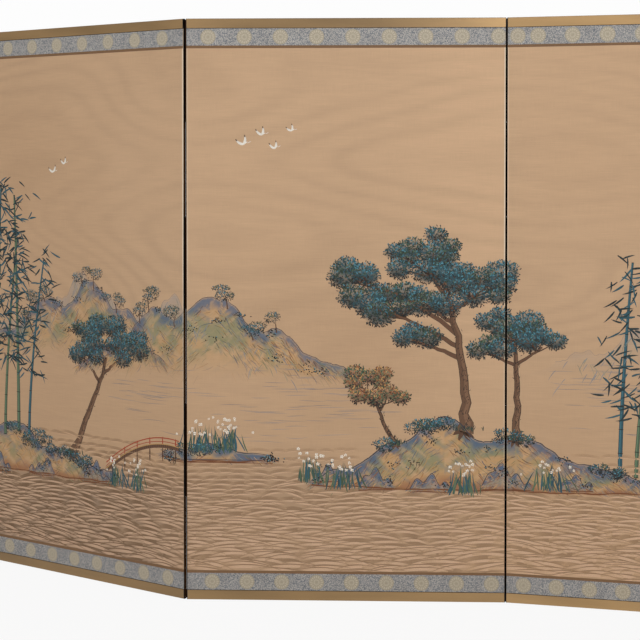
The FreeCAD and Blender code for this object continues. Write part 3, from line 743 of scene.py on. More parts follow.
class Paint:
    """Thin films of paint on the silk, gathered over the whole picture and then cut panel by panel."""

    def __init__(self, name):
        self.name, self.parts, self.count, self.strokes = name, [], 0, 0

    def stroke(self, path, width, colour, lift, tip=None, strength=None, row=None):
        """Adds strokes: at each point of its path a stroke reaches half its width to both sides.

        lift is how far the film stands off the silk. Films side by side differ in it, and from those
        of the next two rows, so that none lies in another. tip is the colour at the far end. strength
        thins the paint at each point of the path, until the washes under it show.
        """
        along = np.gradient(path, axis=1)
        along = along / np.maximum(np.linalg.norm(along, axis=2, keepdims=True), 1e-9)
        side = pair(-along[..., 1], along[..., 0]) * (width / 2)[..., None]
        number, length = path.shape[:2]
        level = np.arange(number) if row is None else 3 * np.arange(number) + row
        lifts = lift + LIFT_STEP * (level % LIFT_STEPS)
        flat = np.stack([path - side, path + side], axis=2)
        height = np.broadcast_to(lifts[:, None, None, None], flat.shape[:3] + (1,))
        share = np.linspace(0, 1, length)[:, None]
        colour = np.broadcast_to(colour, (number, 3))[:, None]
        shade = colour + ((colour if tip is None else tip) - colour) * share
        shade = np.repeat(shade[:, :, None], 2, axis=2).reshape(-1, 3)
        if strength is not None:
            under = picture_washes(flat[..., 0].ravel(), flat[..., 1].ravel())
            cover = np.repeat(np.broadcast_to(strength, (number, length))[:, :, None], 2, axis=2)
            shade = under + (shade - under) * cover.reshape(-1, 1)
        corner = np.arange(number)[:, None] * length * 2 + 2 * np.arange(length - 1) + self.count
        order = self.strokes + np.arange(number)[:, None, None]
        place = np.stack(np.broadcast_arrays(order, share, np.array([0.0, 1.0])), axis=-1)
        points = np.concatenate([flat, height], axis=-1).reshape(-1, 3)
        self.parts.append((points, shade, corner.reshape(-1, 1) + (0, 2, 3, 1), place.reshape(-1, 3)))
        self.count += number * length * 2
        self.strokes += number

    def line(self, path, width, *look, **more):
        """Adds one stroke, its width even or given at each point."""
        self.stroke(path[None], np.broadcast_to(width, len(path))[None], *look, **more)

    def make(self, material):
        """One piece per panel: the faces that reach into its silk, their points held within its edges.

        In the map for baking every stroke has a square cell of its own.
        """
        points, colours, faces, places = map(np.concatenate, zip(*self.parts))
        for panel in PANELS:
            low, high = panel.middle + np.array(panel.silk) + (FILM_INSET, -FILM_INSET)
            foot, top = FILM_MARGIN, PICTURE_HEIGHT - FILM_MARGIN
            u, v = points[faces, 0], points[faces, 1]
            shown = (u.max(axis=1) > low) & (u.min(axis=1) < high)
            shown &= (v.max(axis=1) > foot) & (v.min(axis=1) < top)
            used, index = np.unique(faces[shown], return_inverse=True)
            u, v = np.clip(points[used, 0], low, high), np.clip(points[used, 1], foot, top)
            place = np.stack([u - panel.middle, -SILK_FRONT - points[used, 2], v - SILK_TOP], axis=1)
            cells, cell = np.unique(places[used, 0], return_inverse=True)
            wide = math.ceil(math.sqrt(len(cells)))
            within = CELL_MARGIN + (1 - 2 * CELL_MARGIN) * places[used, 1:]
            baked = (pair(cell % wide, cell // wide) + within) / wide
            layers = {"paint": colours[used], "threads": pair(u, v) / 1000, "OFBake": baked}
            corners = index.reshape(-1, 4).tolist()
            make_piece(panel, self.name, place, corners, material, layers)


def shades(colour, count, rng, spread=0.16):
    """The colour once for each stroke, a little lighter or darker each time."""
    return colour * (1 + rng.normal(0, spread, (count, 1))).clip(0.5, 1.6)


def bow(start, bend, end, count):
    """A smooth curve from start to end that leans towards bend: the quadratic curve of the three points."""
    t = np.linspace(0, 1, count)[:, None]
    return (1 - t) ** 2 * np.array(start) + 2 * t * (1 - t) * np.array(bend) + t**2 * np.array(end)


def height_at(mass, u):
    """The crest of a mass of land at one place."""
    return float(mass.crest(np.array([u]))[0])


TRUNK_POINTS, BOUGH_POINTS, TWIG_POINTS = 14, 12, 8
BARK_TICKS, GRASS_BLADES = 90, 40


def paint_tree(tree, clumps, seed):
    """A tree: a bent trunk on spread roots in grass, a bough to every head, twigs, bark ticks and leaves."""
    rng = np.random.default_rng(seed)
    stand, bend, top, width, heads, _, turning = tree
    ground = max(height_at(bank, stand) for bank in BANKS if bank.left < stand < bank.right)
    trunk = bow((stand, ground - 10), bend, top, TRUNK_POINTS)
    trunk[1:-1] += rng.normal(0, width * 0.09, (TRUNK_POINTS - 2, 2))
    share = np.linspace(0, 1, TRUNK_POINTS)
    taper = width * (1 - 0.62 * share) * (1 + 0.8 * smooth_step(0.14, 0, share))
    for middle_u, middle_v, reach_u, reach_v, _ in heads:
        level = middle_v - reach_v - 0.5 * abs(middle_u - top[0])
        near = np.clip(np.argmin(np.abs(trunk[:, 1] - level)), 4, TRUNK_POINTS - 2)
        fork = np.array((middle_u, middle_v - 0.6 * reach_v))
        leaned = ((trunk[near, 0] + middle_u) / 2, max(trunk[near, 1], middle_v - 1.5 * reach_v))
        bough = bow(trunk[near], leaned, fork, BOUGH_POINTS)
        bough[1:-1] += rng.normal(0, width * 0.05, (BOUGH_POINTS - 2, 2))
        thin = np.linspace(0.42, 0.16, BOUGH_POINTS) * width
        wood.line(bough, thin + 1.8, INK, 0.03)
        wood.line(bough, thin, INK_BROWN * 1.2, 0.06)
        own = clumps[np.hypot((clumps[:, 0] - middle_u) / reach_u, (clumps[:, 1] - middle_v) / reach_v) < 1.4]
        for cu, cv, _, rv in own:
            twig = bow(bough[8], (fork + (cu, cv)) / 2 - (0, 0.4 * rv), (cu, cv), TWIG_POINTS)
            wood.line(twig, np.linspace(0.15, 0.05, TWIG_POINTS) * width + 1.0, INK_BROWN * 0.7, 0.03)
    for lean in (-0.5, -1.1, -2.0, -2.7):
        root = curved(trunk[:1] + (0, 6), lean + rng.normal(0, 0.1), width * 1.3, width * 0.5, 0.5, BLADE)
        wood.stroke(*root, INK_BROWN, 0.09)
    wood.line(trunk, taper + 2.4, INK, 0.10)
    wood.line(trunk, taper, BARK * 0.72, 0.115, tip=INK_BROWN)
    wood.line(trunk + (width * 0.15, 0), taper * 0.4, BARK * 1.1, 0.13, tip=BARK * 0.8)
    number = BARK_TICKS
    at = trunk[rng.integers(0, TRUNK_POINTS - 1, number)] + rng.normal(0, 1, (number, 2)) * (width * 0.2, 9)
    angle, length = rng.normal(1.3, 0.5, number), rng.uniform(5, 13, number)
    wood.stroke(*curved(at, angle, length, rng.uniform(1.1, 2.1, number)), INK * 1.3, 0.145)
    number = GRASS_BLADES
    at = trunk[0] + (0, 4) + rng.normal(0, 1, (number, 2)) * (width * 0.9, 3)
    angle = np.pi / 2 + rng.normal(0, 0.5, number)
    tint = np.where(rng.random((number, 1)) < 0.5, LEAF_GREEN * 0.6, TEAL_DARK)
    length, thin = rng.uniform(9, 20, number), rng.uniform(1.6, 2.6, number)
    leaves.stroke(*curved(at, angle, length, thin, profile=BLADE), tint, 0.23)
    paint_foliage(rng, clumps, TURNING_LEAVES if turning else GREEN_LEAVES, 1.0)


# The passes of dabs over a clump of leaves: how many, how far up in it they keep, and their lift.
LEAF_PASSES = ((270, 0.0, 0.16), (150, -0.55, 0.16), (190, 0.10, 0.235), (120, 0.30, 0.31), (56, 0.52, 0.385))


def paint_foliage(rng, clumps, palette, size):
    """Leaves in clumps, each clump in front of the ones before it: dabs behind a later clump are left out.

    Each clump has five passes of dabs that turn every way: dark ones all over and along its lower
    edge, then lighter ones that keep more and more to its top.
    """
    for index, (cu, cv, ru, rv) in enumerate(clumps):
        dense = ru * rv / (84 * 42) / size
        green = rng.random() < 0.4
        for pigment, (number, raised, lift) in zip(palette, LEAF_PASSES):
            number = int(number * dense) + 3
            turn, out = rng.uniform(0, 2 * np.pi, number), np.sqrt(rng.random(number))
            at = pair(out * np.cos(turn), out * np.sin(turn))
            at *= (1.05, 1.0 if raised == 0 else 0.66 - 0.3 * abs(raised))
            at[:, 0] *= 1 - 0.35 * abs(raised)
            at[:, 1] += raised
            fan = np.arctan2(at[:, 1] + 0.3, at[:, 0]) + rng.normal(0, 0.9, number)
            place = at * (ru, rv) + (cu, cv)
            behind = np.zeros(number, dtype=bool)
            for fu, fv, fru, frv in clumps[index + 1 :]:
                behind |= ((place[:, 0] - fu) / fru) ** 2 + ((place[:, 1] - fv) / frv) ** 2 < 0.8
            place, fan = place[~behind], fan[~behind]
            number = len(place)
            mossy = rng.random((number, 1)) < (0.65 if green else 0.15)
            tint = np.where(mossy & (pigment.sum() > 0.1), LEAF_GREEN * pigment.sum() * 1.6, pigment)
            length, width = rng.uniform(6.0, 9.5, number) * size, rng.uniform(2.4, 3.6, number) * size
            leaves.stroke(*curved(place, fan, length, width), shades(tint, number, rng), lift)


def leaf_clumps(rng, u, v, spread, rises, reach_u, reach_v):
    """Two to four clumps of leaves side by side around a place, the highest first."""
    heads = rng.integers(2, 5)
    return np.column_stack([
        u + rng.normal(0, spread, heads), v + np.sort(rng.uniform(*rises, heads))[::-1],
        rng.uniform(*reach_u, heads), rng.uniform(*reach_v, heads)])


def paint_bushes(seed):
    """Low bushes on the crests of the banks, each a few clumps of leaves side by side."""
    rng = np.random.default_rng(seed)
    for bank in BANKS:
        for u in bank.left + (bank.right - bank.left) * rng.uniform(0.22, 0.78, 5):
            foot = height_at(bank, u)
            if foot - bank.foot_level >= 36:
                clumps = leaf_clumps(rng, u, foot, 26, (-14, 10), (18, 32), (12, 19))
                paint_foliage(rng, clumps, GREEN_LEAVES, 0.8)


def paint_groves(seed):
    """Small far trees in rows along the hills: a short trunk and a few clumps of fine dabs each."""
    rng = np.random.default_rng(seed)
    for hill in MID_HILLS:
        middles = hill.left + (hill.right - hill.left) * np.array([0.30, 0.36, 0.43, 0.58, 0.63, 0.72])
        for u in middles + rng.normal(0, 14, len(middles)):
            foot = height_at(hill, u) - rng.uniform(4, 40)
            if foot - hill.foot_level < 40:
                continue
            high = rng.uniform(26, 48)
            bend, top = (u + rng.normal(0, 5), foot + high / 2), (u + rng.normal(0, 8), foot + high)
            wood.line(bow((u, foot), bend, top, 6), np.linspace(4.2, 2.4, 6), INK_BROWN, 0.10)
            clumps = leaf_clumps(rng, u, foot + high, 15, (-8, 22), (17, 27), (10, 15))
            paint_foliage(rng, clumps, GREEN_LEAVES, 0.62)


SPRAY_LEAVES = 13


def paint_bamboo(stand, seed):
    """A bamboo grove: each culm is a row of jointed lengths, with sprays of long leaves from its joints."""
    rng = np.random.default_rng(seed)
    for u, v, height, lean, width in stand:
        joints = np.linspace(0, 1, int(height / 58))
        path = pair(u + lean * joints**1.6, v + height * joints)
        thin = width * (1 - 0.6 * joints)
        far = (LEAF_GREEN, TEAL)[int(rng.random() > 0.6)] * 0.85
        wood.line(path, thin + 1.6, TEAL_DARK, 0.05)
        wood.line(path, thin, far, 0.13, tip=far * 1.15)
        wood.line(path - (width * 0.16, 0), thin * 0.35, far * 1.8, 0.20)
        across = path - pair(thin * 0.75, 0 * thin)
        wood.stroke(*curved(across, 0.0, thin * 1.5, 2.2, profile=BLOB), INK * 1.3, 0.27)
        knots = path[joints > 0.32]
        number = len(knots) * SPRAY_LEAVES
        at = np.repeat(knots, SPRAY_LEAVES, axis=0) + rng.normal(0, 1, (number, 2)) * (34, 16)
        angle = np.where(rng.random(number) < 0.5, -0.5, -2.64) + rng.normal(0, 0.5, number)
        tint = np.where(rng.random((number, 1)) < 0.55, TEAL_DARK, TEAL) * rng.uniform(0.7, 1.2, (number, 1))
        strokes = curved(at, angle, rng.uniform(30, 52, number), rng.uniform(4, 6.5, number), -0.3, BLADE)
        leaves.stroke(*strokes, tint, 0.2)


MOSS_DOTS = 16


def paint_contours(seed):
    """Ink along each crest, brush texture down its slopes, and moss dots in groups."""
    rng = np.random.default_rng(seed)
    pigments = np.array([STONE_BLUE * 0.8, RUST, INK_BROWN, OCHRE * 1.15, STONE_GREY * 1.2, OLIVE * 0.8])
    for mass in MID_HILLS + BANKS + BOULDERS:
        big, far = mass not in BOULDERS, mass in MID_HILLS
        u = np.linspace(mass.left, mass.right, int((mass.right - mass.left) / 5))
        crest, foot = mass.crest(u), mass.foot(u)
        stands = crest - foot > (14 if big else 9)
        if stands.sum() < 5:
            continue
        u, crest, foot = u[stands], crest[stands], foot[stands]
        width = (2.6 if big else 2.1) * (0.4 + 1.1 * cloud(u, 0 * u, 30, mass.seed + 7))
        lines.line(pair(u, crest), (0.6 if far else 1.0) * width, INK * 1.6 + STONE_BLUE * 0.25, 0.20)
        if not far:
            lines.line(pair(u, foot + 2), 1.4 * width, RUST * 0.6, 0.12)
        number = int((crest - foot).sum() * 5 / (130 if big else 34))
        pick = rng.integers(0, len(u), number)
        share = rng.beta(2.2 if far else 1.6, 1.2, number)
        at = pair(u[pick], foot[pick] + share * (crest - foot)[pick] * 0.94)
        evened = np.convolve(np.pad(crest, 10, "edge"), np.ones(21) / 21, "valid")
        lie = np.arctan(np.gradient(evened, u))[pick]
        steep = rng.uniform(0.05, 0.6, number)
        angle = np.where(lie > 0, np.pi + lie + steep * (np.pi / 2 - lie), lie - steep * (np.pi / 2 + lie))
        tint = pigments[rng.integers(0, len(pigments), number)] * rng.uniform(0.75, 1.2, (number, 1))
        length = rng.uniform(14, 42, number) * (1.0 if big else 0.5)
        strokes = curved(at, angle, length, rng.uniform(1.0, 3.0, number), rng.normal(0, 0.5, number), BLADE)
        cover = rng.uniform(0.25, 0.85, (number, 1)) * smooth_step(0, 0.4 if far else 0.01, share)[:, None]
        lines.stroke(*strokes, tint, 0.05, strength=cover)
        groups = max(1, int((u[-1] - u[0]) / 60))
        heart = rng.integers(0, len(u), groups)
        dots = rng.integers(0, groups, groups * MOSS_DOTS)
        sunk = rng.uniform(0, 0.55, groups) * (crest - foot)[heart] * (rng.random(groups) < 0.5)
        high = (crest[heart] - sunk)[dots] - np.abs(rng.normal(0, 7, len(dots))) + rng.normal(0, 4, len(dots))
        at = pair(u[heart][dots] + rng.normal(0, 11, len(dots)), high)
        lines.stroke(*curved(at, 0.3, 4.0, 3.6, profile=BLOB), INK, 0.26)
        lines.stroke(*curved(at[::5] + (1.5, 1.5), 0.3, 2.6, 2.4, profile=BLOB), TEAL_LIGHT * 1.3, 0.34)


def paint_hills(seed):
    """Faint contour and a few soft vertical folds on the hills far off."""
    rng = np.random.default_rng(seed)
    for hill in FAR_HILLS:
        u = np.linspace(hill.left, hill.right, int((hill.right - hill.left) / 7))
        crest = hill.crest(u)
        width = 2.0 * (0.3 + 1.2 * cloud(u, 0 * u, 60, hill.seed + 7))
        shown = (crest - hill.foot(u)) > 26
        if shown.sum() < 4:
            continue
        lines.line(pair(u, crest)[shown], width[shown], MIST_BLUE * 0.72, 0.05, strength=0.45)
        number = int(shown.sum() * 0.9)
        pick = rng.choice(np.flatnonzero(shown), number)
        at = pair(u[pick], crest[pick] - rng.uniform(6, 70, number))
        side = np.sign(np.gradient(crest, u)[pick])
        angle = -np.pi / 2 - side * rng.uniform(0.2, 0.7, number)
        tint = np.where(rng.random((number, 1)) < 0.5, MIST_BLUE, MIST_GREEN)
        tint = tint * rng.uniform(0.8, 1.05, (number, 1))
        lines.stroke(*curved(at, angle, rng.uniform(18, 46, number), 1.8, side * 0.3, BLADE), tint, 0.12)


def on_water(u, v):
    """True where the picture shows open water: below the shore, and off every bank and boulder."""
    free = np.ones(u.shape, dtype=bool)
    for mass in BANKS + BOULDERS:
        hidden = (u > mass.left) & (u < mass.right) & (v < mass.crest(u) + 3) & (v > mass.foot(u) - 5)
        free &= ~(hidden & (mass.crest(u) - mass.foot(u) > 6))
    return free


def paint_ripples(seed):
    """Running water: rows of low arches that overlap like shingles, each behind the next one's crest.

    Behind each crest lies a soft shade, along it a dark line, and on its face a pale one. The rows
    stand closer together and their arches grow smaller the higher, and so the farther off, they lie.
    """
    rng = np.random.default_rng(seed)
    share = np.linspace(0, 1, 28)
    s = np.linspace(0, 1, 9)
    ends = np.sin(np.pi * s)
    for order, (row, near) in enumerate(zip(352 - 360 * share**0.8, 0.15 + 0.85 * share)):
        long = 46 + 84 * near
        number = int(PICTURE_WIDTH / (0.78 * long))
        u = (np.arange(number) + 0.5 * (order % 2) + rng.uniform(-0.3, 0.3, number)) * 0.78 * long
        v = row + (2 + 9 * near) * np.sin(u / 150 + row / 70) + rng.normal(0, 1 + 1.5 * near, number)
        keep = on_water(u, v) & on_water(u + 0.4 * long, v) & on_water(u - 0.4 * long, v)
        u, v = u[keep], v[keep]
        length = rng.uniform(0.85, 1.55, (len(u), 1)) * long
        rise = rng.uniform(0.5, 1.2, (len(u), 1)) * (3 + 9 * near)
        tilt = 0.22 * (cloud(u, v, 260, seed, 2)[:, None] - 0.5) + rng.normal(0, 0.09, (len(u), 1))
        arch = v[:, None] + rise * (1 - (2 * s - 1) ** 2) + tilt * length * (s - 0.5)
        crest = pair(u[:, None] + length * (s - 0.5), arch)
        faint = 1 - 0.55 * smooth_step(250, 350, row)
        wide = np.ones((len(u), 1)) * (0.4 + 0.6 * ends)
        heavy = 1 + 0.7 * smooth_step(2000, 1600, u[:, None])
        low = (0.50 * faint * ends * heavy).clip(0, 1)
        edge = (faint * (0.08 + 0.50 * ends) * heavy).clip(0, 1)
        for rise, thick, colour, lift, strength in (
                (3 + 5 * near, 5 + 11 * near, WAVE_BROWN, 0.05, low),
                (-2 - 3.5 * near, 2.5 + 8 * near, WAVE_LIGHT, 0.13, 0.75 * faint * ends),
                (0, 1.5 + 1.6 * near, WAVE_BROWN, 0.21, edge)):
            lines.stroke(crest + (0, rise), wide * thick, colour, lift, strength=strength, row=order)


MIST_STREAKS = 34


def paint_streaks(seed):
    """Thin level streaks of grey where far water fades into mist."""
    rng = np.random.default_rng(seed)
    number, pigment = MIST_STREAKS, MIST_BLUE * 0.55 + SILK_SHADE * 0.45
    for u, v, reach in MISTS:
        at = pair(rng.normal(u, reach * 0.55, number), v + rng.normal(0, 34, number))
        angle, length = rng.normal(0, 0.03, number), rng.uniform(40, 120, number)
        strokes = curved(at, angle, length, 1.6, rng.normal(0, 0.16, number), LINE)
        lines.stroke(*strokes, shades(pigment, number, rng, 0.08), 0.05)


# Which way the petals of an iris point: three stand and two droop.
PETAL_TURNS = (0.5, 1.57, 2.64, 3.9, 5.5)


def paint_reeds(beds, seed):
    """Iris beds: fans of long blades, with white flowers of drooping and standing petals above them."""
    rng = np.random.default_rng(seed)
    for u, v, reach, number in beds:
        at = pair(rng.normal(u, reach, number), v + rng.normal(0, 4, number))
        angle = np.pi / 2 + (at[:, 0] - u) / reach * 0.16 + rng.normal(0, 0.16, number)
        tint = np.where(rng.random((number, 1)) < 0.5, TEAL, LEAF_GREEN) * rng.uniform(0.6, 1.2, (number, 1))
        height, width = rng.uniform(38, 84, number), rng.uniform(2.6, 4.6, number)
        leaves.stroke(*curved(at, angle, height, width, rng.normal(0, 0.3, number), BLADE), tint, 0.24)
        tops = at[: number // 2] + pair(rng.normal(0, 6, number // 2), rng.uniform(48, 96, number // 2))
        centre = np.repeat(tops, len(PETAL_TURNS), axis=0)
        turn = np.tile(PETAL_TURNS, len(tops)) + rng.normal(0, 0.25, len(centre))
        size = np.repeat(rng.uniform(3.4, 6.0, len(tops)), len(PETAL_TURNS))
        blooms.stroke(*curved(centre, turn, size, size * 0.62), SHELL_WHITE * 0.95, 0.30, tip=SHELL_WHITE)
        blooms.stroke(*curved(tops - (1.2, 0), 0.0, 2.6, 2.6, profile=BLOB), OCHRE * 1.1, 0.38)


def paint_birds(flock, seed):
    """White birds in flight: a slim body, a long neck, two bowed wings with dark tips."""
    rng = np.random.default_rng(seed)
    for u, v, size, heading in flock:
        at = np.array([[u, v]])
        blooms.stroke(*curved(at - (size * 0.35, 0), heading, size * 0.8, size * 0.17, 0.2), SHELL_WHITE, 0.2)
        throat = at + size * 0.40 * np.array([[math.cos(heading), math.sin(heading)]])
        neck = curved(throat, heading + 0.15, size * 0.42, size * 0.06, 0.3, BLADE)
        blooms.stroke(*neck, SHELL_WHITE * 0.9, 0.26)
        for lifted, side in ((1.15, 1), (2.15, -1)):
            angle = heading + lifted + rng.normal(0, 0.12)
            wing = curved(at, angle, size * 0.95, size * 0.26, 0.9 * side, BLADE)
            blooms.stroke(*wing, SHELL_WHITE, 0.28, tip=SHELL_WHITE * 0.8)
            blooms.stroke(*curved(wing[0][:, 3], angle + 0.4 * side, size * 0.30, size * 0.10), INK, 0.36)


def paint_bridge(left, right, rise):
    """A low plank bridge: its deck is one bow, with planks across it, posts in the water and a rail."""
    bend = ((left[0] + right[0]) / 2, left[1] + 2 * rise)
    deck, planks = bow(left, bend, right, 24), bow(left, bend, right, 40) - (0, 6)
    lines.line(deck, 12.0, INK_BROWN * 1.25, 0.26)
    lines.line(deck + (0, 5), 2.4, OCHRE * 1.05, 0.33)
    lines.stroke(*curved(planks, np.pi / 2, 11.0, 1.2, profile=BLOB), INK * 1.4, 0.36)
    posts = deck[2:-1:4]
    lines.stroke(*curved(posts - (0, 46), np.pi / 2, 46.0, 5.0, profile=BLOB), INK_BROWN * 0.9, 0.20)
    lines.stroke(*curved(posts, np.pi / 2, 28.0, 4.0, profile=BLOB), VERMILION * 0.8, 0.20)
    for height, thick in ((13, 2.0), (24, 3.2)):
        lines.line(deck + (0, height), thick, VERMILION * 0.8, 0.30)


MISTS = [
    (2180, 455, 230), (1730, 520, 150), (3330, 430, 210), (780, 400, 150), (3060, 560, 120), (2240, 560, 130),
]
GROVE = [
    (1010, 300, 700, 40, 13), (1062, 318, 820, 26, 15), (1104, 330, 640, 60, 12), (1168, 345, 760, -18, 14),
    (1216, 340, 560, 70, 11), (966, 290, 600, -30, 12), (3150, 300, 620, 34, 12), (3196, 300, 520, 60, 11),
]
BEDS = [
    (1930, 352, 34, 40), (2010, 356, 26, 30), (2240, 262, 24, 30), (2350, 246, 26, 30), (1690, 214, 26, 24),
    (1600, 216, 22, 22), (2690, 232, 30, 34), (2950, 250, 30, 30), (860, 214, 26, 24), (690, 226, 28, 26),
    (3430, 300, 24, 24),
]
FLOCK = [
    (2050, 1262, 30, 0.35), (2104, 1290, 27, 0.30), (2142, 1250, 25, 0.42), (2192, 1302, 22, 0.30),
    (1330, 1180, 27, 0.3), (1380, 1206, 24, 0.36), (3300, 1240, 28, 2.8), (3350, 1262, 25, 2.75),
]
paints = [Paint(f"painted_{name}") for name in ("trunks", "leaves", "lines", "blooms")]
wood, leaves, lines, blooms = paints
for seed, (tree, crown) in enumerate(zip(TREES, CROWNS), start=201):
    paint_tree(tree, crown, seed)
paint_bamboo(GROVE, 301)
paint_ripples(302)
paint_streaks(303)
paint_hills(304)
paint_contours(305)
paint_groves(308)
paint_bushes(309)
paint_bridge((1560, 262), (1860, 356), 60)
paint_reeds(BEDS, 306)
paint_birds(FLOCK, 307)
pigment = pigment_material()
for paint in paints:
    paint.make(pigment)


# The silk itself, and the brocade borders

painted_silk, brocade, woven_gold = painted_silk_material(), brocade_material(), woven_gold_material()
NEAR_FOLD = np.array([0, 1.1, 2.6, 4.4])
SILK_COLUMNS, SILK_ROWS = 222, 340
BROCADE_STEP = 12
# How much stronger the painted highlight is on the right edges of the second and third panels.
RIGHT_EDGE_HIGHLIGHTS = {2: 2.2, 3: 1.7}


def make_silk(panel):
    """The picture's silk: a close grid that carries the washes, pale along the folds: bare, and painted
    highlight.
    """
    left, right = panel.silk
    between = np.linspace(left + 8, right - 8, SILK_COLUMNS)
    x = np.concatenate([left + NEAR_FOLD, between, right - NEAR_FOLD[::-1]])
    points, faces, flat = slab(x, np.linspace(-SILK_TOP, SILK_TOP, SILK_ROWS), SILK_FRONT, SILK_BACK)
    u, v = points[:, 0] + panel.middle, points[:, 2] + SILK_TOP
    colours = picture_washes(u, v)
    # The pale fold edges are partly bare silk, worn unevenly after soft noise, and partly painted highlight:
    # stronger high up, and on the right edges of the second and third panels.
    worn = 0.15 + 0.55 * cloud(u, v, 120, 90) + 0.15 * smooth_step(500, 1100, v)
    for edge, folded in ((left, not panel.first), (right, not panel.last)):
        if folded:
            bare_and_highlight = smooth_step(4.4, 1.4, np.abs(points[:, 0] - edge))
            bare_and_highlight *= 0.35 + 0.65 * smooth_step(500, 1000, v)
            share = bare_and_highlight * worn * (RIGHT_EDGE_HIGHLIGHTS.get(panel.number, 0.8) if edge == right else 0.8)
            colours += (BARE_EDGE_AND_HIGHLIGHT - colours) * share.clip(0, 1)[:, None]
    layers = {"wash": colours, "threads": pair(u, v) / 1000, "OFBake": flat}
    silk = make_piece(panel, "silk_picture", points, faces, painted_silk, layers)
    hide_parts(f"{panel.body}_painted_silk")


def border_strips(panel):
    """The brocade strips of one panel: left, right, foot and top of each, in the panel's own frame."""
    left, right = panel.border
    strips = [(left, right, BROCADE_FOOT, BROCADE_TOP), (left, right, -BROCADE_TOP, -BROCADE_FOOT)]
    if panel.first:
        strips.append((left, left + BROCADE_WIDTH, -BROCADE_FOOT, BROCADE_FOOT))
    if panel.last:
        strips.append((right - BROCADE_WIDTH, right, -BROCADE_FOOT, BROCADE_FOOT))
    return strips


def make_brocade(panel):
    """The borders in figured brocade, in one piece, each strip a slab of woven cloth."""
    parts = []
    for row, (left, right, low, high) in enumerate(border_strips(panel)):
        x = np.linspace(left, right, int((right - left) / BROCADE_STEP))
        z = np.linspace(low, high, int((high - low) / BROCADE_STEP))
        points, faces, flat = slab(x, z, BROCADE_FRONT, SILK_BACK)
        parts.append((points, faces, flat * (1, 0.32) + (0, row / 3)))
    points, faces, flat = joined(parts)
    layers = {"threads": pair(points[:, 0] + panel.start, points[:, 2]) / 1000, "OFBake": flat}
    cloth = make_piece(panel, "brocade_cloth", points, faces, brocade, layers)
    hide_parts(f"{panel.body}_brocade_strips")


DISC_POINTS, PETALS = 54, 16
DISC_RADIUS = 22.4
DISC_LIFT, PETAL_LIFT = 0.02, 0.035


def roundel():
    """The woven roundel, once: a scalloped disc with two rings of sixteen petals.

    The disc's edge is a circle whose radius rises and falls 18 times a turn. Returns points with
    their lift, faces as lists of corners, and colours.
    """
    turn = np.arange(DISC_POINTS) / DISC_POINTS * 2 * np.pi
    wave = DISC_RADIUS + 0.9 * np.cos(18 * turn)
    disc = np.column_stack([wave * np.cos(turn), wave * np.sin(turn), np.full(DISC_POINTS, DISC_LIFT)])
    parts = [(disc, [list(range(DISC_POINTS))], np.tile(ROUNDEL_GROUND, (DISC_POINTS, 1)))]
    turn = np.arange(PETALS) / PETALS * 2 * np.pi
    along, side = pair(np.cos(turn), np.sin(turn)), pair(-np.sin(turn), np.cos(turn))
    for root, middle, tip, half in ((10.5, 17.2, 19.8, 2.5), (3.4, 8.2, 9.8, 1.2)):
        corners = [along * root, along * middle - side * half, along * tip, along * middle + side * half]
        count = 4 * PETALS
        points = np.column_stack([np.stack(corners, axis=1).reshape(-1, 2), np.full(count, PETAL_LIFT)])
        faces = np.arange(count).reshape(-1, 4).tolist()
        parts.append((points, faces, np.tile(ROUNDEL_PETAL, (count, 1))))
    return joined(parts)


# For the top and the bottom border: the first and the second roundel's middle from the panel's left
# edge, and the pitch of the rest. The fourth panel's top border is pieced, so that two stand close.
ROUNDEL_ROWS = {
    1: ((52, 158, 106), (60, 164, 104)),
    2: ((72, 184, 112), (83, 182, 99)),
    3: ((65, 172, 106.6), (75, 178.4, 103.2)),
    4: ((31, 90, 100), (52, 148, 96)),
}
UPRIGHT_PITCH = 2 * 52.4
ROUNDEL_INSET = 0.2


def make_roundels(panel):
    """The roundels woven into the borders of one panel, cut where the cloth ends."""
    shape, petals, tint = roundel()
    strips = border_strips(panel)
    middles = []
    for strip, (first, second, pitch) in zip(strips, ROUNDEL_ROWS[panel.number]):
        x = np.append(first, np.arange(second, PANEL_WIDTH, pitch)) - PANEL_WIDTH / 2
        middles += [(middle, (strip[2] + strip[3]) / 2, strip) for middle in x]
    for strip in strips[2:]:
        z = np.arange(-7, 8) * UPRIGHT_PITCH
        z = z[np.abs(z) < BROCADE_FOOT - 20]
        middles += [((strip[0] + strip[1]) / 2, middle, strip) for middle in z]
    parts = []
    for x, z, (left, right, low, high) in middles:
        flat = shape[:, :2] + (x, z)
        if flat[:, 0].min() <= right and flat[:, 0].max() >= left:
            inset = ROUNDEL_INSET
            held = np.clip(flat, (left + inset, low + inset), (right - inset, high - inset))
            points = np.stack([held[:, 0], -BROCADE_FRONT - shape[:, 2], held[:, 1]], axis=1)
            parts.append((points, petals, tint))
    points, faces, colours = joined(parts)
    flat, (left, right) = points[:, ::2], panel.border
    baked = (flat - (left, -BROCADE_TOP)) / (right - left, 2 * BROCADE_TOP)
    layers = {"paint": colours, "threads": (flat + (panel.start, 0)) / 1000, "OFBake": baked.clip(0, 1)}
    make_piece(panel, "brocade_roundels", points, faces, woven_gold, layers)


for panel in PANELS:
    make_silk(panel)
    make_brocade(panel)
    make_roundels(panel)


# The room: a pale floor, soft light

STUDIO_WHITE, FLOOR_SHARE = rgba("#FDFDFD"), 0.92
ROOM_LIGHT = (0.42, 0.42, 0.42, 1)


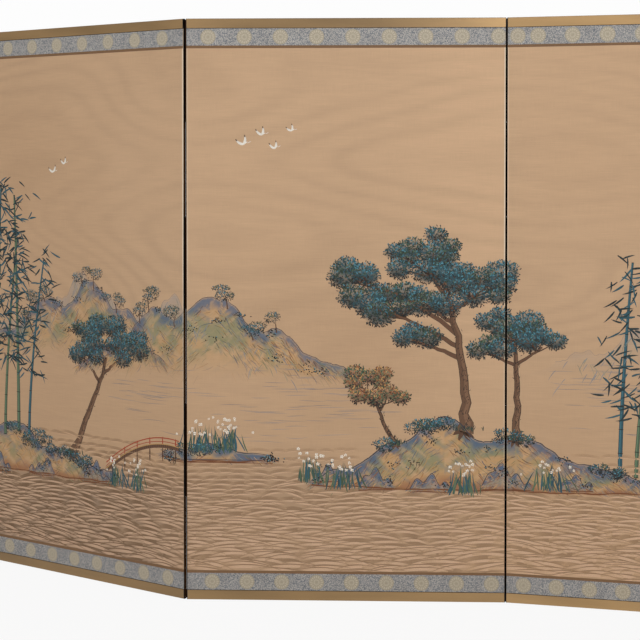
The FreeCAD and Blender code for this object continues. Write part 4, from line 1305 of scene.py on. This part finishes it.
def seen_by(tree, *kinds):
    """1 for rays of any of these kinds, and 0 for all others."""
    first, *others = (add(tree, "LightPath", out=f"Is {kind} Ray") for kind in kinds)
    for other in others:
        first = add(tree, "Math", (first, other), operation="MAXIMUM")
    return first


def floor_material():
    """A matt white studio floor, which stays white to the camera and keeps a little of the shadow."""
    floor = Finish("matt_white_floor")
    floor.surface(rgba("#F1F0EE"), 0.9)
    seen = seen_by(floor.tree, "Camera", "Glossy", "Transmission")
    share = floor.add("Math", (seen, FLOOR_SHARE), operation="MULTIPLY")
    white = floor.add("Emission", {"Color": STUDIO_WHITE, "Strength": 1.0})
    matt = floor.tree.nodes["Principled BSDF"].outputs[0]
    join(floor.tree.nodes["Material Output"], {"Surface": floor.add("MixShader", (share, matt, white))})
    return floor.material


bpy.ops.mesh.primitive_plane_add(size=40)
floor = bpy.context.object
floor.name = "studio_floor"
floor.data.materials.append(floor_material())
floor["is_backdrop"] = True

world = bpy.data.worlds.new("studio")
bpy.context.scene.world = world
world.use_nodes = True
tree = world.node_tree
seen = seen_by(tree, "Camera", "Transmission")
room = add(tree, "Mix", {0: seen, 6: ROOM_LIGHT, 7: STUDIO_WHITE}, out=2, data_type="RGBA")
join(tree.nodes["Background"], {"Color": room})

# Square softboxes: the place of each, what it faces, its side and its power.
SOFTBOXES = {
    "key_softbox": ((2.9, -4.6, 3.0), (0.7, 0, 1.0), 2.2, 88),
    "front_softbox": ((-0.4, -6.2, 2.7), (0.0, 0, 1.0), 2.4, 24),
    "fill_softbox": ((-3.4, -4.8, 2.6), (-0.4, 0, 1.0), 2.6, 48),
    "back_softbox": ((0.5, 4.6, 3.0), (0, 0, 0.9), 2.6, 80),
}
for name, (place, target, size, watts) in SOFTBOXES.items():
    data = bpy.data.lights.new(name, "AREA")
    data.size, data.energy = size, watts
    lamp = bpy.data.objects.new(name, data)
    bpy.context.scene.collection.objects.link(lamp)
    lamp.location = place
    aim = np.array(target) - np.array(place)
    lamp.rotation_euler = (math.atan2(math.hypot(aim[0], aim[1]), -aim[2]), 0, math.atan2(-aim[0], aim[1]))

boxes = {"cad": cad_box, "visual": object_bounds()}
{name: [[float(value) for value in corner] for corner in box] for name, box in boxes.items()}
